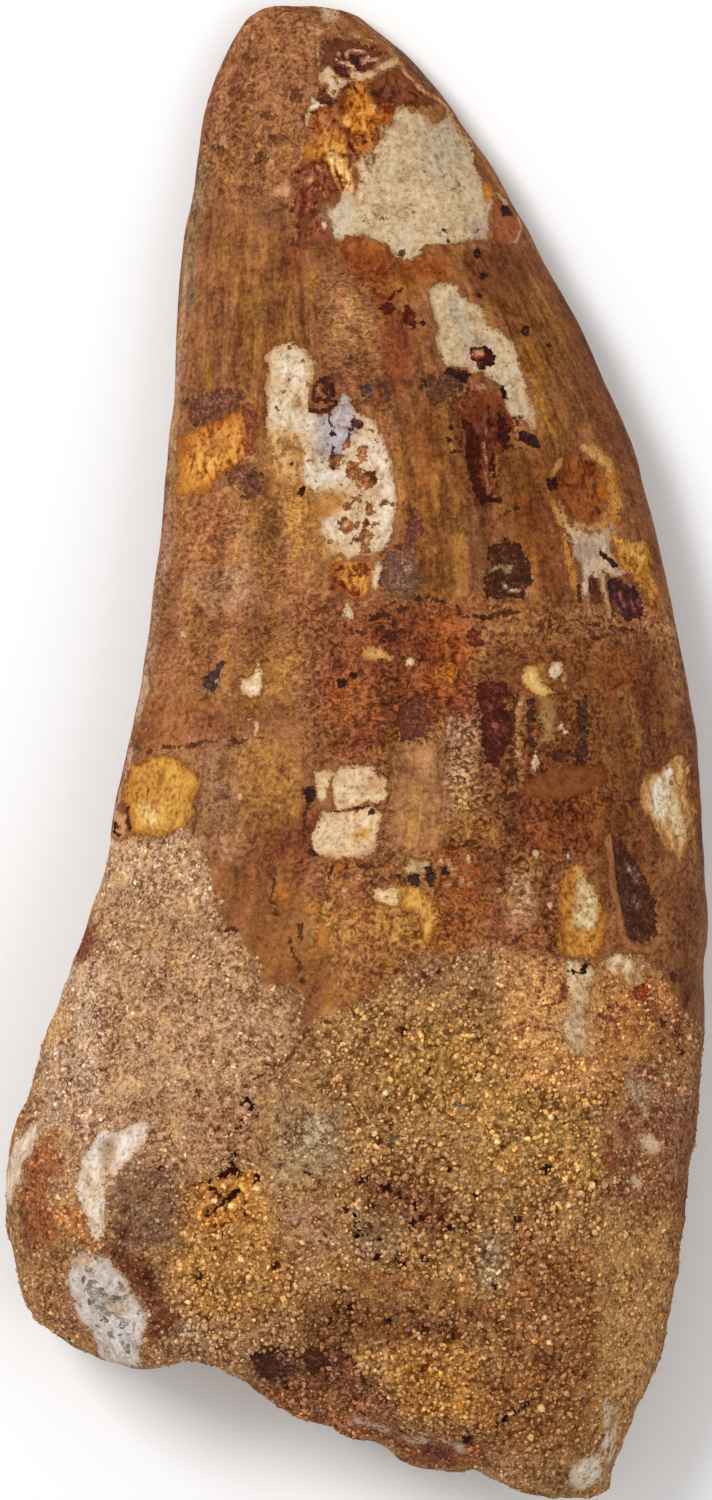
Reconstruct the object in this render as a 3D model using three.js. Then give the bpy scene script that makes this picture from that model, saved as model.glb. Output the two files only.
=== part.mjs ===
// A fossil blade tooth of a large meat-eating dinosaur, with sandstone still cemented
// round its broken root.
// Millimetres, +Z up. The tooth lies on its flatter face: its length runs along Y with the tip towards +Y,
// the serrated back edge is on the -X side and the bowed front edge on the +X side.
// The origin is the middle of the bounding box in X and Y, on the surface that the tooth rests on.

import * as THREE from 'three';
import { ImprovedNoise } from 'three/addons/math/ImprovedNoise.js';
import { mergeVertices } from 'three/addons/utils/BufferGeometryUtils.js';

// ---------------------------------------------------------------- driving dimensions

// The four sides of the outline seen from above, [x, y].
const TIP_SIDE = [
  [-8.3, 50.8], [-7.4, 51.8], [-6.2, 52.35], [-3.8, 52.55], [-1.5, 52.4], [0.2, 51.8], [1.5, 50.8],
];
const BACK_EDGE = [
  [-8.3, 50.8], [-9.3, 49.1], [-10.6, 45.4], [-11.5, 40], [-12.3, 34], [-12.8, 28.8], [-13.1, 23],
  [-13.6, 17.2], [-14.6, 9.1], [-15.4, 3.5], [-16.9, -3.5], [-17.7, -7.7], [-19.6, -13.3],
  [-21.6, -18.9], [-23.2, -24.3], [-24.6, -27.6], [-24.8, -32.6], [-24.1, -35.9], [-23.1, -38.6],
];
const FRONT_EDGE = [
  [1.5, 50.8], [4.1, 48.4], [8.4, 42.8], [11.7, 37.2], [14.8, 31.6], [17.5, 26], [19.7, 20.4],
  [21.2, 14.7], [22.4, 9.1], [23.3, 3.9], [24.1, -1.5], [24.6, -12], [24.6, -18], [24.2, -25.2],
  [23.3, -31], [22.5, -36.4], [21.3, -42], [19.9, -45.8], [18.8, -48.6], [17.7, -51.6],
];
const BROKEN_SIDE = [
  [-23.1, -38.6], [-21.1, -41], [-18.6, -42.2], [-15.6, -43.1], [-12.2, -42.8], [-8.8, -43.3],
  [-6.9, -44.9], [-4.4, -46.6], [-1.6, -47.6], [1.6, -48.1], [3.1, -49.4], [4.9, -50.3],
  [8.6, -50.2], [10.6, -51.1], [13.2, -51.9], [15.7, -52.4], [17.7, -51.6],
];

// Sizes along the tooth: [share of the way from tip to root, millimetres].
const UPPER_HEIGHT = [
  [0, 1.5], [0.05, 2.9], [0.13, 4.5], [0.3, 7], [0.5, 9], [0.7, 11], [0.85, 11.9], [1, 10.6],
];
const LOWER_DEPTH = [
  [0, 1.3], [0.05, 2], [0.13, 2.8], [0.3, 4.2], [0.5, 5.5], [0.7, 6.8], [0.85, 7.55], [1, 6.5],
];
const EDGE_HEIGHT = [
  [0, 1.4], [0.05, 2.1], [0.13, 3.15], [0.3, 5.2], [0.5, 6.6], [0.7, 7.15], [0.85, 7.3], [1, 6.8],
];

// The section is a lens with sharp edges in the crown and a fuller oval in the root.
const ROOT_BEGINS = 0.52;
const ROOT_ENDS = 0.82;
const CROWN_FULLNESS = 0.8;
const ROOT_FULLNESS = 0.56;
const SECTION_POWER = 2.2;
const BELLY_TO_FRONT = 0.1;

// The broken end: how far its rim is rounded over, and how hollow the break is.
const RIM_WIDTH = 3.8;
const RIM_DROP = 0.3;
const BREAK_HOLLOW = 1.4;

// Where the sandstone crust ends against the bare enamel, on both faces, [x, y].
const CRUST_EDGE = [
  [-26, -5.4], [-17, -6], [-11.4, -6], [-10.1, -8.4], [-9.2, -11.2], [-7.4, -13.8], [-5, -16.6],
  [-2, -18.6], [0.6, -17.3], [3.1, -15.8], [6.6, -14.7], [10.1, -14], [12.9, -17.2], [17, -18.2],
  [21, -17.6], [26, -24],
];
const CRUST_THICKNESS = 0.35;

// Flakes out of the upper face: centre, half sizes, turn in degrees and depth.
const FLAKES = [
  { name: 'near the tip', at: [4.5, 40], half: [5.4, 4.9], turn: 8, depth: 0.4 },
  { name: 'front, upper', at: [8.2, 28], half: [2.6, 5.6], turn: 33, depth: 0.35 },
  { name: 'back, upper', at: [-1.9, 20.6], half: [3, 7.6], turn: 27, depth: 0.4 },
  { name: 'front, round', at: [16.2, 18.4], half: [2.7, 3.2], turn: 0, depth: 0.35 },
  { name: 'front, lower', at: [18.6, 11.4], half: [2.4, 3.2], turn: 20, depth: 0.45 },
  { name: 'back, square', at: [-13.7, -3.2], half: [2.6, 2.7], turn: 0, depth: 0.35 },
  { name: 'middle, square', at: [-0.4, -4.2], half: [2.5, 3.2], turn: 0, depth: 0.35 },
  { name: 'front, by the edge', at: [22.2, -4.6], half: [1.7, 4.2], turn: 14, depth: 0.4 },
  { name: 'front, purple groove', at: [19.7, -9.8], half: [1.2, 3.7], turn: 14, depth: 0.5 },
  { name: 'root corner', at: [-17, -38.6], half: [2.9, 3.2], turn: 30, depth: 0.5 },
];

// Pits and gouges in the upper face: centre, half sizes, turn in degrees and depth.
const PITS = [
  { name: 'by the tip', at: [0.3, 45.8], half: [1.8, 1.5], turn: 20, depth: 0.45 },
  { name: 'front, dark', at: [10.8, 12.6], half: [2.4, 2.3], turn: 0, depth: 0.6 },
  { name: 'front, streak', at: [8.4, 21], half: [1.3, 4], turn: 4, depth: 0.35 },
  { name: 'front edge', at: [18.9, 10.4], half: [2, 1.8], turn: 40, depth: 0.45 },
  { name: 'crust, back', at: [-9.5, -30.8], half: [3.1, 2.5], turn: 20, depth: 1 },
  { name: 'crust, middle', at: [2.8, -31.7], half: [4.4, 2.4], turn: -25, depth: 0.7 },
  { name: 'crust, front', at: [10.6, -47.9], half: [3.2, 1.8], turn: 30, depth: 0.9 },
];

// The crust has split off above the broken end and left a ledge: its brink, [x, y], and its greatest drop.
const LEDGE_BRINK = [
  [-10, -43.4], [-7.2, -42.6], [-3.6, -41.8], [-1, -42.4], [1.2, -44.4], [3.6, -46.9], [8.4, -48.4],
  [11, -51.2],
];
const LEDGE_DROP = 3.8;
const LEDGE_SLOPE = 1.7;
const LEDGE_ENDS = 4;

// The glued break across the crown: [x, y] of its line, and the groove's half width and depth.
const MEND_LINE = [[-15, 7.6], [-8, 8.4], [-1, 8.8], [5, 10.6], [12, 9.9], [17, 9.1], [23, 8.2]];
const MEND_HALF_WIDTH = 0.7;
const MEND_DEPTH = 0.3;

// Roughness: [size of the lumps, height] of each layer.
const CRUST_LUMPS = [[9, 0.75], [4.2, 0.5], [2, 0.32]];
const ENAMEL_WAVES = [[11, 0.32], [4.5, 0.16]];
const BREAK_LUMPS = [[7, 1.5], [3, 0.9]];
const ENAMEL_STRETCH = 3.2;
const EDGE_NICKS = [[4.2, 0.22], [1.9, 0.16]];
const ROOT_NICKS = [[3.4, 0.45], [1.7, 0.3]];

// Mesh: rows along the tooth, columns across each face, and rows down the break and round the tip.
const ROWS = 63;
const COLUMNS = 34;
const BREAK_ROWS = 5;
const TIP_ROWS = 2;

// ---------------------------------------------------------------- small helpers

const perlin = new ImprovedNoise();
const clamp = THREE.MathUtils.clamp;
const lerp = THREE.MathUtils.lerp;
const smoothstep = THREE.MathUtils.smoothstep;

// A smooth plane curve through points.
function planeCurve(points) {
  return new THREE.SplineCurve(points.map(([x, y]) => new THREE.Vector2(x, y)));
}

// A smooth function through [position, value] pairs in rising order of position.
function smoothLine(pairs) {
  const places = Float32Array.from(pairs, ([place]) => place);
  const values = Float32Array.from(pairs, ([, value]) => value);
  const line = new THREE.CubicInterpolant(places, values, 1);
  return (place) => line.evaluate(place)[0];
}

// Sum of noise layers, each [size, height], at a point.
function layers(list, x, y, z) {
  return list.reduce(
    (sum, [size, height], i) =>
      sum + height * perlin.noise(x / size + 7.3 * i, y / size + 3.1, z / size + 11.7 * i),
    0,
  );
}

// 1 inside a turned ellipse, falling to 0 just outside it.
function insideEllipse(x, y, { at, half, turn }) {
  const angle = THREE.MathUtils.degToRad(turn);
  const dx = x - at[0];
  const dy = y - at[1];
  const across = (dx * Math.cos(angle) + dy * Math.sin(angle)) / half[0];
  const along = (-dx * Math.sin(angle) + dy * Math.cos(angle)) / half[1];
  return 1 - smoothstep(Math.hypot(across, along), 0.75, 1.2);
}

// ---------------------------------------------------------------- the form

const tipSide = planeCurve(TIP_SIDE);
const backEdge = planeCurve(BACK_EDGE);
const frontEdge = planeCurve(FRONT_EDGE);
const brokenSide = planeCurve(BROKEN_SIDE);
const upperHeight = smoothLine(UPPER_HEIGHT);
const lowerDepth = smoothLine(LOWER_DEPTH);
const edgeHeight = smoothLine(EDGE_HEIGHT);
const crustEdge = smoothLine(CRUST_EDGE);
const ledgeBrink = smoothLine(LEDGE_BRINK);
const mendLine = smoothLine(MEND_LINE);

// Moves a point of the outline in or out, so that the edges are nicked and the break is ragged.
function ragged(point, nicks) {
  const dx = layers(nicks, point.x, point.y, 20);
  const dy = layers(nicks, point.x, point.y, 40);
  return new THREE.Vector2(point.x + dx, point.y + dy);
}

// Blends a nick's size from the crown to the root.
function sidePoint(edge, along) {
  const point = edge.getPointAt(along);
  const nicked = ragged(point, EDGE_NICKS);
  const broken = ragged(point, ROOT_NICKS);
  return nicked.lerp(broken, smoothstep(along, ROOT_BEGINS, ROOT_ENDS));
}

// The plan: a sheet stretched between the four sides. across runs from back to front,
// along from tip to root.
function planPoint(across, along) {
  const back = sidePoint(backEdge, along);
  const front = sidePoint(frontEdge, along);
  const tip = ragged(tipSide.getPointAt(across), EDGE_NICKS);
  const root = ragged(brokenSide.getPointAt(across), ROOT_NICKS);
  const corners = [
    [sidePoint(backEdge, 0), (1 - across) * (1 - along)],
    [sidePoint(frontEdge, 0), across * (1 - along)],
    [sidePoint(backEdge, 1), (1 - across) * along],
    [sidePoint(frontEdge, 1), across * along],
  ];
  const point = new THREE.Vector2()
    .addScaledVector(back, 1 - across)
    .addScaledVector(front, across)
    .addScaledVector(tip, 1 - along)
    .addScaledVector(root, along);
  corners.forEach(([corner, share]) => point.addScaledVector(corner, -share));
  return point;
}

// Share of the full height, from 0 at either edge to 1 at the belly.
function sectionShape(across, along) {
  const place = 2 * across - 1;
  const shifted = place - BELLY_TO_FRONT * (1 - place * place);
  const fullness = lerp(CROWN_FULLNESS, ROOT_FULLNESS, smoothstep(along, ROOT_BEGINS, ROOT_ENDS));
  return (1 - Math.abs(clamp(shifted, -1, 1)) ** SECTION_POWER) ** fullness;
}

// 1 on sandstone, 0 on enamel.
function crustAt(x, y) {
  const edge = crustEdge(x) + 0.7 * perlin.noise(x / 2.2, y / 2.2, 5);
  return smoothstep(edge - y, -0.4, 0.9);
}

// Height of the surface's relief over the plain form. face is 1 above and -1 below.
function relief(x, y, face) {
  const layer = 60 * face;
  const crust = crustAt(x, y);
  const sand = CRUST_THICKNESS + layers(CRUST_LUMPS, x, y, layer);
  const enamel = layers(ENAMEL_WAVES, x, y / ENAMEL_STRETCH, layer);
  let height = lerp(enamel, sand, crust);
  if (face > 0) {
    FLAKES.forEach((flake) => { height -= flake.depth * insideEllipse(x, y, flake); });
    PITS.forEach((pit) => { height -= pit.depth * insideEllipse(x, y, pit); });
    height -= MEND_DEPTH * (1 - smoothstep(Math.abs(y - mendLine(x)), 0, MEND_HALF_WIDTH));
  }
  return height;
}

// How far the ledge above the break drops the upper face here. It dies out at both ends of its brink.
function ledgeDrop(x, y) {
  const [first, last] = [LEDGE_BRINK[0][0], LEDGE_BRINK.at(-1)[0]];
  if (x < first || x > last) return 0;
  const ends = smoothstep(x, first, first + LEDGE_ENDS) * (1 - smoothstep(x, last - LEDGE_ENDS, last));
  const rough = 1 + 0.45 * perlin.noise(x / 3.1, y / 3.1, 9);
  return LEDGE_DROP * ends * rough * smoothstep(ledgeBrink(x) - y, 0, LEDGE_SLOPE);
}

// Share of the height left where the rim of the break is worn round.
function rimShape(y, rootY) {
  const inwards = clamp((y - rootY) / RIM_WIDTH, 0, 1);
  return 1 - RIM_DROP * (1 - inwards) ** 2;
}

// A point of the upper (face 1) or lower (face -1) face.
function facePoint(across, along, face) {
  const plan = planPoint(across, along);
  const edge = edgeHeight(along);
  const shape = sectionShape(across, along);
  const rim = rimShape(plan.y, planPoint(across, 1).y);
  const full = face > 0 ? upperHeight(along) : lowerDepth(along);
  const rough = relief(plan.x, plan.y, face) * Math.min(1, 2.5 * shape);
  const ledge = face > 0 ? ledgeDrop(plan.x, plan.y) * Math.min(1, 2 * shape) : 0;
  const height = edge + face * (full * shape * rim + rough) - ledge;
  return new THREE.Vector3(plan.x, plan.y, Math.max(height, 0));
}

// ---------------------------------------------------------------- the mesh

// Columns crowd a little towards the edges, where the section turns.
function columnPlace(column) {
  const even = column / COLUMNS;
  return lerp(even, 0.5 - 0.5 * Math.cos(Math.PI * even), 0.45);
}

// One closed ring round the tooth: over the upper face from back to front, and back under the lower one.
function ring(along) {
  const places = Array.from({ length: COLUMNS + 1 }, (_, i) => columnPlace(i));
  const upper = places.map((across) => facePoint(across, along, 1));
  const lower = places.slice(1, -1).reverse().map((across) => facePoint(across, along, -1));
  return [...upper, ...lower];
}

// Draws a ring's upper and lower halves together: part 1 keeps it, and 0 closes it to one line.
function squeezed(points, part, bulge) {
  const count = points.length;
  return points.map((point, i) => {
    const partner = points[(count - i) % count];
    const middle = (point.z + partner.z) / 2;
    const moved = new THREE.Vector3(point.x, point.y, lerp(middle, point.z, part));
    return bulge ? bulge(moved, part, Math.abs(point.z - partner.z)) : moved;
  });
}

// The break's surface: hollow in the middle of its height, and lumpy.
function breakSurface(point, part, thickness) {
  const inwards = BREAK_HOLLOW * (1 - part ** 2) + layers(BREAK_LUMPS, point.x, point.z * 2, 30) + 0.4;
  const reach = Math.min(1, thickness / 6) * Math.min(1, 2.5 * (1 - part));
  point.y += Math.max(inwards, 0) * reach;
  return point;
}

function allRings() {
  const rings = [];
  const tip = ring(0);
  const root = ring(1);
  for (let i = 0; i < TIP_ROWS; i += 1) rings.push(squeezed(tip, Math.sin((Math.PI / 2) * (i / TIP_ROWS))));
  for (let i = 0; i <= ROWS; i += 1) rings.push(ring(i / ROWS));
  for (let i = 1; i <= BREAK_ROWS; i += 1) rings.push(squeezed(root, 1 - i / BREAK_ROWS, breakSurface));
  return rings;
}

// Triangles between neighbouring rings, without the ones that close to a line.
function skin(rings) {
  const count = rings[0].length;
  const positions = rings.flat().flatMap(({ x, y, z }) => [x, y, z]);
  const faces = [];
  for (let row = 0; row < rings.length - 1; row += 1) {
    for (let i = 0; i < count; i += 1) {
      const next = (i + 1) % count;
      const [a, b] = [row * count + i, row * count + next];
      const [c, d] = [b + count, a + count];
      faces.push(a, d, b, b, d, c);
    }
  }
  const loose = new THREE.BufferGeometry();
  loose.setAttribute('position', new THREE.Float32BufferAttribute(positions, 3));
  loose.setIndex(faces);
  const merged = mergeVertices(loose, 1e-4);
  const kept = [];
  const index = merged.index.array;
  for (let i = 0; i < index.length; i += 3) {
    const [a, b, c] = index.slice(i, i + 3);
    if (a !== b && b !== c && c !== a) kept.push(a, b, c);
  }
  merged.setIndex(kept);
  return merged;
}

// Puts the origin in the middle of the outline, on the resting plane.
function centred(geometry) {
  geometry.computeBoundingBox();
  const { min, max } = geometry.boundingBox;
  return geometry.translate(-(min.x + max.x) / 2, -(min.y + max.y) / 2, -min.z);
}

function fossilMaterial() {
  return new THREE.MeshStandardMaterial({ color: 0x9c6b40, roughness: 0.6, metalness: 0 });
}

function makeTooth() {
  const geometry = centred(skin(allRings()));
  geometry.computeVertexNormals();
  const tooth = new THREE.Mesh(geometry, fossilMaterial());
  tooth.name = 'tooth';
  return tooth;
}

const fossil = new THREE.Group();
fossil.add(makeTooth());

export default fossil;
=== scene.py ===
"""Dresses the fossil tooth: a fine skin on its solid, its colours, sand grains, floor, light, camera."""

import itertools
import math

import bmesh
import bpy
import numpy as np
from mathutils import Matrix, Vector
from mathutils.bvhtree import BVHTree


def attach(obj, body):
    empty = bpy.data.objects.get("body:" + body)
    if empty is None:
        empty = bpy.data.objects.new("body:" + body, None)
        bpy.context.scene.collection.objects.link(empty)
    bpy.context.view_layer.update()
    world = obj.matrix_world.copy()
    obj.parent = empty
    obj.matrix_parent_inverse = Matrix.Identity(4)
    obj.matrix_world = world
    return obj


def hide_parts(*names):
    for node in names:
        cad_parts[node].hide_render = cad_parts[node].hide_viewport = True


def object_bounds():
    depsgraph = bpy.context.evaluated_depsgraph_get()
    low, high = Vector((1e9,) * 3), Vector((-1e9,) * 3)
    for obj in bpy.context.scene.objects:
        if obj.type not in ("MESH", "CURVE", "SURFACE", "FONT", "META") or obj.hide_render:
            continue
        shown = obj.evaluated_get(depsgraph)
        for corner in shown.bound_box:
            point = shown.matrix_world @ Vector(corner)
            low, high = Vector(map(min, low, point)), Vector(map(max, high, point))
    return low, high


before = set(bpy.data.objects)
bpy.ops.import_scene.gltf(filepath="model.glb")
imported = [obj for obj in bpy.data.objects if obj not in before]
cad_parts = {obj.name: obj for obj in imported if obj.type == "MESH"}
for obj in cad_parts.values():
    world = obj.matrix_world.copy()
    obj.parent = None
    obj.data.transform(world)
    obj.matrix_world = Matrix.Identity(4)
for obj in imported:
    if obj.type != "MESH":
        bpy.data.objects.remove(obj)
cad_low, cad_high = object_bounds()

# ---------------------------------------------------------------- view
# Places on the upper face are given as the camera sees them: u to the right and v down, in a frame
# 712 wide and 1500 high, where 14.25 units are a millimetre.

FRAME_SIZE = (712, 1500)
UNITS_PER_MM = 14.25
MIDDLE = (355.5, 750.0)
CAMERA_HEIGHT = 1.2
FOCUS_HEIGHT = 0.005
SENSOR = 36.0
MM = 1000.0

# The back and front edges of the tooth as the camera sees them: v, then u.
BACK_EDGE = ((0, 250), (200, 199), (450, 173), (700, 133), (840, 108), (1000, 62), (1150, 10), (1500, 60))
FRONT_EDGE = ((0, 345), (50, 405), (200, 505), (300, 560), (400, 612), (500, 647), (600, 672), (700, 690),
              (800, 703), (950, 708), (1100, 697), (1300, 672), (1500, 620))


def seen_at(points_mm):
    """Where points of the tooth appear in the camera's frame."""
    reach = (CAMERA_HEIGHT - FOCUS_HEIGHT) * MM
    scale = UNITS_PER_MM * reach / (CAMERA_HEIGHT * MM - points_mm[:, 2])
    return np.stack(
        [MIDDLE[0] + points_mm[:, 0] * scale, MIDDLE[1] - points_mm[:, 1] * scale], axis=1
    )


# ---------------------------------------------------------------- colours (sRGB, 0 to 255)

ENAMEL = (148, 94, 58)
GOLD_BROWN = (142, 88, 44)
GOLD = (166, 112, 54)
OLIVE_BROWN = (152, 104, 62)
RIM_GREY = (152, 120, 92)
RIM_PINK = (172, 132, 106)
RUST = (142, 70, 26)
RED_BROWN = (126, 60, 32)
DEEP_BROWN = (98, 52, 30)
CHESTNUT = (116, 64, 32)
FRONT_BROWN = (118, 68, 34)
PURPLE_BROWN = (102, 62, 46)
BLACK_BROWN = (52, 26, 16)
CREAM = (194, 167, 131)
IVORY = (220, 200, 172)
BONE = (206, 176, 138)
SHELL_PINK = (208, 160, 130)
LILAC = (178, 163, 162)
GREY_BONE = (174, 154, 132)
OCHRE = (205, 150, 80)
ORANGE = (196, 118, 44)
TAN = (186, 134, 88)
GRANULAR = (158, 103, 67)
SAND = (164, 122, 82)
SAND_PINK = (184, 143, 108)
SAND_GOLD = (170, 126, 76)
SAND_GREY = (162, 132, 98)
SAND_DARK = (120, 76, 40)
SAND_YELLOW = (182, 136, 74)
CLAY = (174, 130, 100)


def linear(colour):
    """sRGB 0 to 255 to linear 0 to 1."""
    c = np.asarray(colour, float) / 255.0
    return np.where(c <= 0.04045, c / 12.92, ((c + 0.055) / 1.055) ** 2.4)


# ---------------------------------------------------------------- shapes on the surface


def polygon(*numbers):
    return ("polygon", numbers)


def ellipse(u, v, half_u, half_v, turn=0.0):
    return ("ellipse", (u, v, half_u, half_v, turn))


def ellipses(*numbers):
    """Several ellipses: u, v and the two half sizes of each."""
    return [ellipse(*numbers[start : start + 4]) for start in range(0, len(numbers), 4)]


def stroke(width, *numbers):
    return ("stroke", (width, *numbers))


def segment_distance(p, a, b):
    ab = b - a
    t = np.clip(((p - a) @ ab) / max(ab @ ab, 1e-9), 0, 1)
    return np.linalg.norm(p - a - t[:, None] * ab, axis=1)


FAR = 999.0


def signed_distance(places, shape, margin=40.0):
    """Distance outside a shape and negative inside it. It is FAR beyond the margin round a polygon or
    stroke, and only near the truth for an ellipse."""
    kind, data = shape
    if kind == "ellipse":
        u, v, half_u, half_v, turn = data
        angle = math.radians(turn)
        du, dv = places[:, 0] - u, places[:, 1] - v
        across = (du * math.cos(angle) + dv * math.sin(angle)) / half_u
        along = (-du * math.sin(angle) + dv * math.cos(angle)) / half_v
        return (np.hypot(across, along) - 1) * min(half_u, half_v)
    corners = np.array(data[1:] if kind == "stroke" else data, float).reshape(-1, 2)
    low, high = corners.min(0) - margin, corners.max(0) + margin
    near = np.flatnonzero(np.all((places > low) & (places < high), axis=1))
    result = np.full(len(places), FAR)
    p = places[near]
    if kind == "stroke":
        far = [segment_distance(p, a, b) for a, b in zip(corners, corners[1:])]
        result[near] = np.min(far, axis=0) - data[0] / 2
        return result
    ends = np.roll(corners, -1, axis=0)
    far = np.min([segment_distance(p, a, b) for a, b in zip(corners, ends)], axis=0)
    inside = np.zeros(len(p), bool)
    for (u0, v0), (u1, v1) in zip(corners, ends):
        if v0 != v1:
            between = (p[:, 1] >= min(v0, v1)) & (p[:, 1] < max(v0, v1))
            inside ^= between & (p[:, 0] < u0 + (p[:, 1] - v0) * (u1 - u0) / (v1 - v0))
    result[near] = np.where(inside, -far, far)
    return result


def nearest(places, shapes):
    return np.min([signed_distance(places, shape) for shape in shapes], axis=0)


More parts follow.
